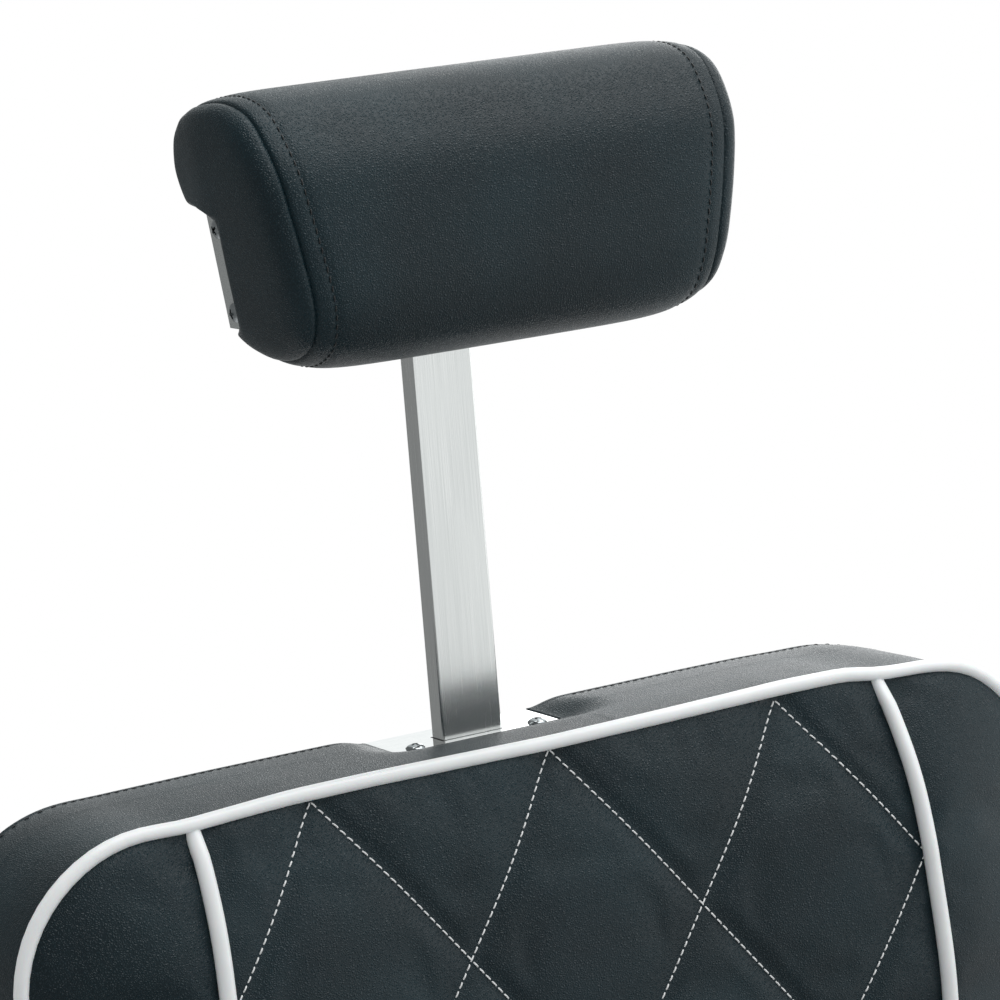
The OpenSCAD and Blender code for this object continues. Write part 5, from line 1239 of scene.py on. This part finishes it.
# %% [markdown]
# ## Arm pads
# Each arm carries a padded rest: foam on a strip, covered in the same vinyl, with a seam round
# its side. It is lofted from rounded oblongs that draw in under the edge, swell, pinch at the
# seam and close over the crown, and a subdivision surface rounds it.

# %% Arm pads
PAD_LEVELS = [(3.2, 0), (1.2, 0.03), (0.5, 0.1), (0.3, 0.22), (0.5, 0.34), (1.0, 0.42), (1.9, 0.455),
              (1.9, 0.475), (0.9, 0.51), (0.5, 0.6), (1.0, 0.7), (2.6, 0.8), (5.4, 0.89),
              (9.5, 0.95), (14.5, 0.985), (19.5, 1.0)]
CORNER_STEPS, LONG_STEPS, LONG_SIDE = 14, 28, 60
ROUND_SHARE, LEAST_ROUND = 0.84, 1.2


def arm_pad(name):
    low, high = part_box(name)
    low, high = np.array(low) / MM, np.array(high) / MM
    cx, cy = (low + high)[:2] / 2
    half_w, half_l = (high - low)[:2] / 2
    height = high[2] - low[2]
    rings = []
    for inset, share in PAD_LEVELS:
        corners = []
        r = max(half_w * ROUND_SHARE - inset, LEAST_ROUND)
        for sx, sy, turn in ((1, 1, 0), (-1, 1, 90), (-1, -1, 180), (1, -1, 270)):
            for k in range(CORNER_STEPS + 1):
                a = math.radians(turn + 90 * k / CORNER_STEPS)
                corners.append(np.array((cx + sx * (half_w - inset - r) + r * math.cos(a),
                                         cy + sy * (half_l - inset - r) + r * math.sin(a),
                                         low[2] + share * height)))
        ring = []
        for a, b in zip(corners, corners[1:] + corners[:1]):
            steps = LONG_STEPS if np.linalg.norm(b - a) > LONG_SIDE else 1
            ring += [a + (b - a) * s / steps for s in range(steps)]
        rings.append(ring)
    count = len(rings[0])
    points = [q for ring in rings for q in ring]
    faces = [tuple(reversed(f)) for f in grid_faces(len(rings), count, round_cols=True)]
    top = (len(rings) - 1) * count
    faces += [tuple(top + k for k in range(count)), tuple(range(count - 1, -1, -1))]
    made = make_object(name + "_cover", points, faces, Matrix.Scale(MM, 4))
    subdivide(made)
    finish_piece(made, "seat", cover_vinyl, [name])


for name in ("arm_pad_left", "arm_pad_right"):
    arm_pad(name)

# %% [markdown]
# ## The stage
# The photograph was taken against white. The floor is a pale disc that fades out, so that it
# takes the chair's shadow but shows no edge. The world is white to the camera and in reflections
# from the right and from above, as a white studio sweep is, and dark at the low left, where the
# room is unlit. Soft lamps light it at a plain level: a large one overhead, one behind on the
# right that grazes the top of the back, and a weak one from the right.

# %% Floor, world and lamps
FLOOR_MM, FLOOR_RINGS, FLOOR_SIDES = 3000, 12, 96


def pale_floor():
    points = [(0, 0, 0)]
    for k in range(1, FLOOR_RINGS + 1):
        radius = FLOOR_MM * k / FLOOR_RINGS
        turns = [2 * math.pi * m / FLOOR_SIDES for m in range(FLOOR_SIDES)]
        points += [(radius * math.cos(a), radius * math.sin(a), 0) for a in turns]
    faces = [(0, 1 + m, 1 + (m + 1) % FLOOR_SIDES) for m in range(FLOOR_SIDES)]
    faces += grid_faces(FLOOR_RINGS, FLOOR_SIDES, round_cols=True, first=1)
    below = Matrix.Translation((0, 0, -0.5 * MM))
    made = make_object("floor", points, faces, below @ Matrix.Scale(MM, 4))
    material, tree, shader, place = start_material("pale studio floor", {"Roughness": 0.7})
    away = add_node(tree, "ShaderNodeVectorMath", {"operation": "LENGTH"}, {0: place})
    fade = add_node(tree, "ShaderNodeMapRange",
                    {"From Min": 0.9, "From Max": 2.1, "interpolation_type": "SMOOTHSTEP"},
                    {"Value": away.outputs["Value"]})
    shader.inputs["Base Color"].default_value = linear("#f2f2f2")
    gone = add_node(tree, "ShaderNodeBsdfTransparent")
    both = add_node(tree, "ShaderNodeMixShader", links={
        "Fac": fade.outputs["Result"], 1: shader.outputs["BSDF"], 2: gone.outputs["BSDF"]})
    output = next(n for n in tree.nodes if n.type == "OUTPUT_MATERIAL")
    tree.links.new(both.outputs["Shader"], output.inputs["Surface"])
    made.data.materials.append(material)
    made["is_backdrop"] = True


def studio_world():
    world = bpy.data.worlds.new("studio")
    bpy.context.scene.world = world
    world.use_nodes = True
    tree = world.node_tree
    tree.nodes.clear()
    way = add_node(tree, "ShaderNodeTexCoord").outputs["Generated"]
    side = add_node(tree, "ShaderNodeVectorMath", {"operation": "DOT_PRODUCT", 1: (1, 0, 0.35)},
                    {0: way})
    lit = add_node(tree, "ShaderNodeMapRange",
                   {"From Min": 0.0, "From Max": 0.44, "To Min": 0.28, "To Max": 1.02,
                    "interpolation_type": "SMOOTHSTEP"}, {"Value": side.outputs["Value"]})
    ray = add_node(tree, "ShaderNodeLightPath")
    mirrored = add_node(tree, "ShaderNodeMath", {"operation": "MAXIMUM"},
                        {0: ray.outputs["Is Glossy Ray"], 1: ray.outputs["Is Transmission Ray"]})
    plain = add_node(tree, "ShaderNodeBackground", {"Color": linear("#ffffff"), "Strength": 0.56})
    seen = add_node(tree, "ShaderNodeBackground", {"Color": linear("#ffffff"), "Strength": 1.0})
    shown = add_node(tree, "ShaderNodeBackground", {"Color": linear("#fafdfd")},
                     {"Strength": lit.outputs["Result"]})
    first = add_node(tree, "ShaderNodeMixShader", links={
        "Fac": mirrored.outputs["Value"], 1: plain.outputs["Background"], 2: shown.outputs["Background"]})
    both = add_node(tree, "ShaderNodeMixShader", links={
        "Fac": ray.outputs["Is Camera Ray"], 1: first.outputs["Shader"], 2: seen.outputs["Background"]})
    add_node(tree, "ShaderNodeOutputWorld", links={"Surface": both.outputs["Shader"]})


def lamp(name, place, target, size, watts):
    data = bpy.data.lights.new(name, "AREA")
    data.shape, data.size, data.energy = "SQUARE", size, watts
    made = bpy.data.objects.new(name, data)
    bpy.context.scene.collection.objects.link(made)
    made.location = place
    made.rotation_euler = (Vector(target) - Vector(place)).to_track_quat("-Z", "Y").to_euler()
    made.visible_camera = False


pale_floor()
studio_world()
lamp("overhead", (0.7, 0.3, 3.1), (0, 0.2, 0.8), 2.2, 43)
lamp("rear_right", (1.8, 2.0, 1.2), (0.1, 0.35, 1.0), 1.6, 11)
lamp("right_fill", (2.4, -1.2, 1.6), (0, 0.1, 0.8), 1.6, 10)
scene = bpy.context.scene
scene.view_settings.view_transform = "Standard"
print("stage ready")

# %% Both boxes, and finish
own_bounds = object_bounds()
sizes = {"cad": [list(c) for c in cad_bounds], "visual": [list(c) for c in own_bounds]}
print("cad", sizes["cad"], "visual", sizes["visual"])
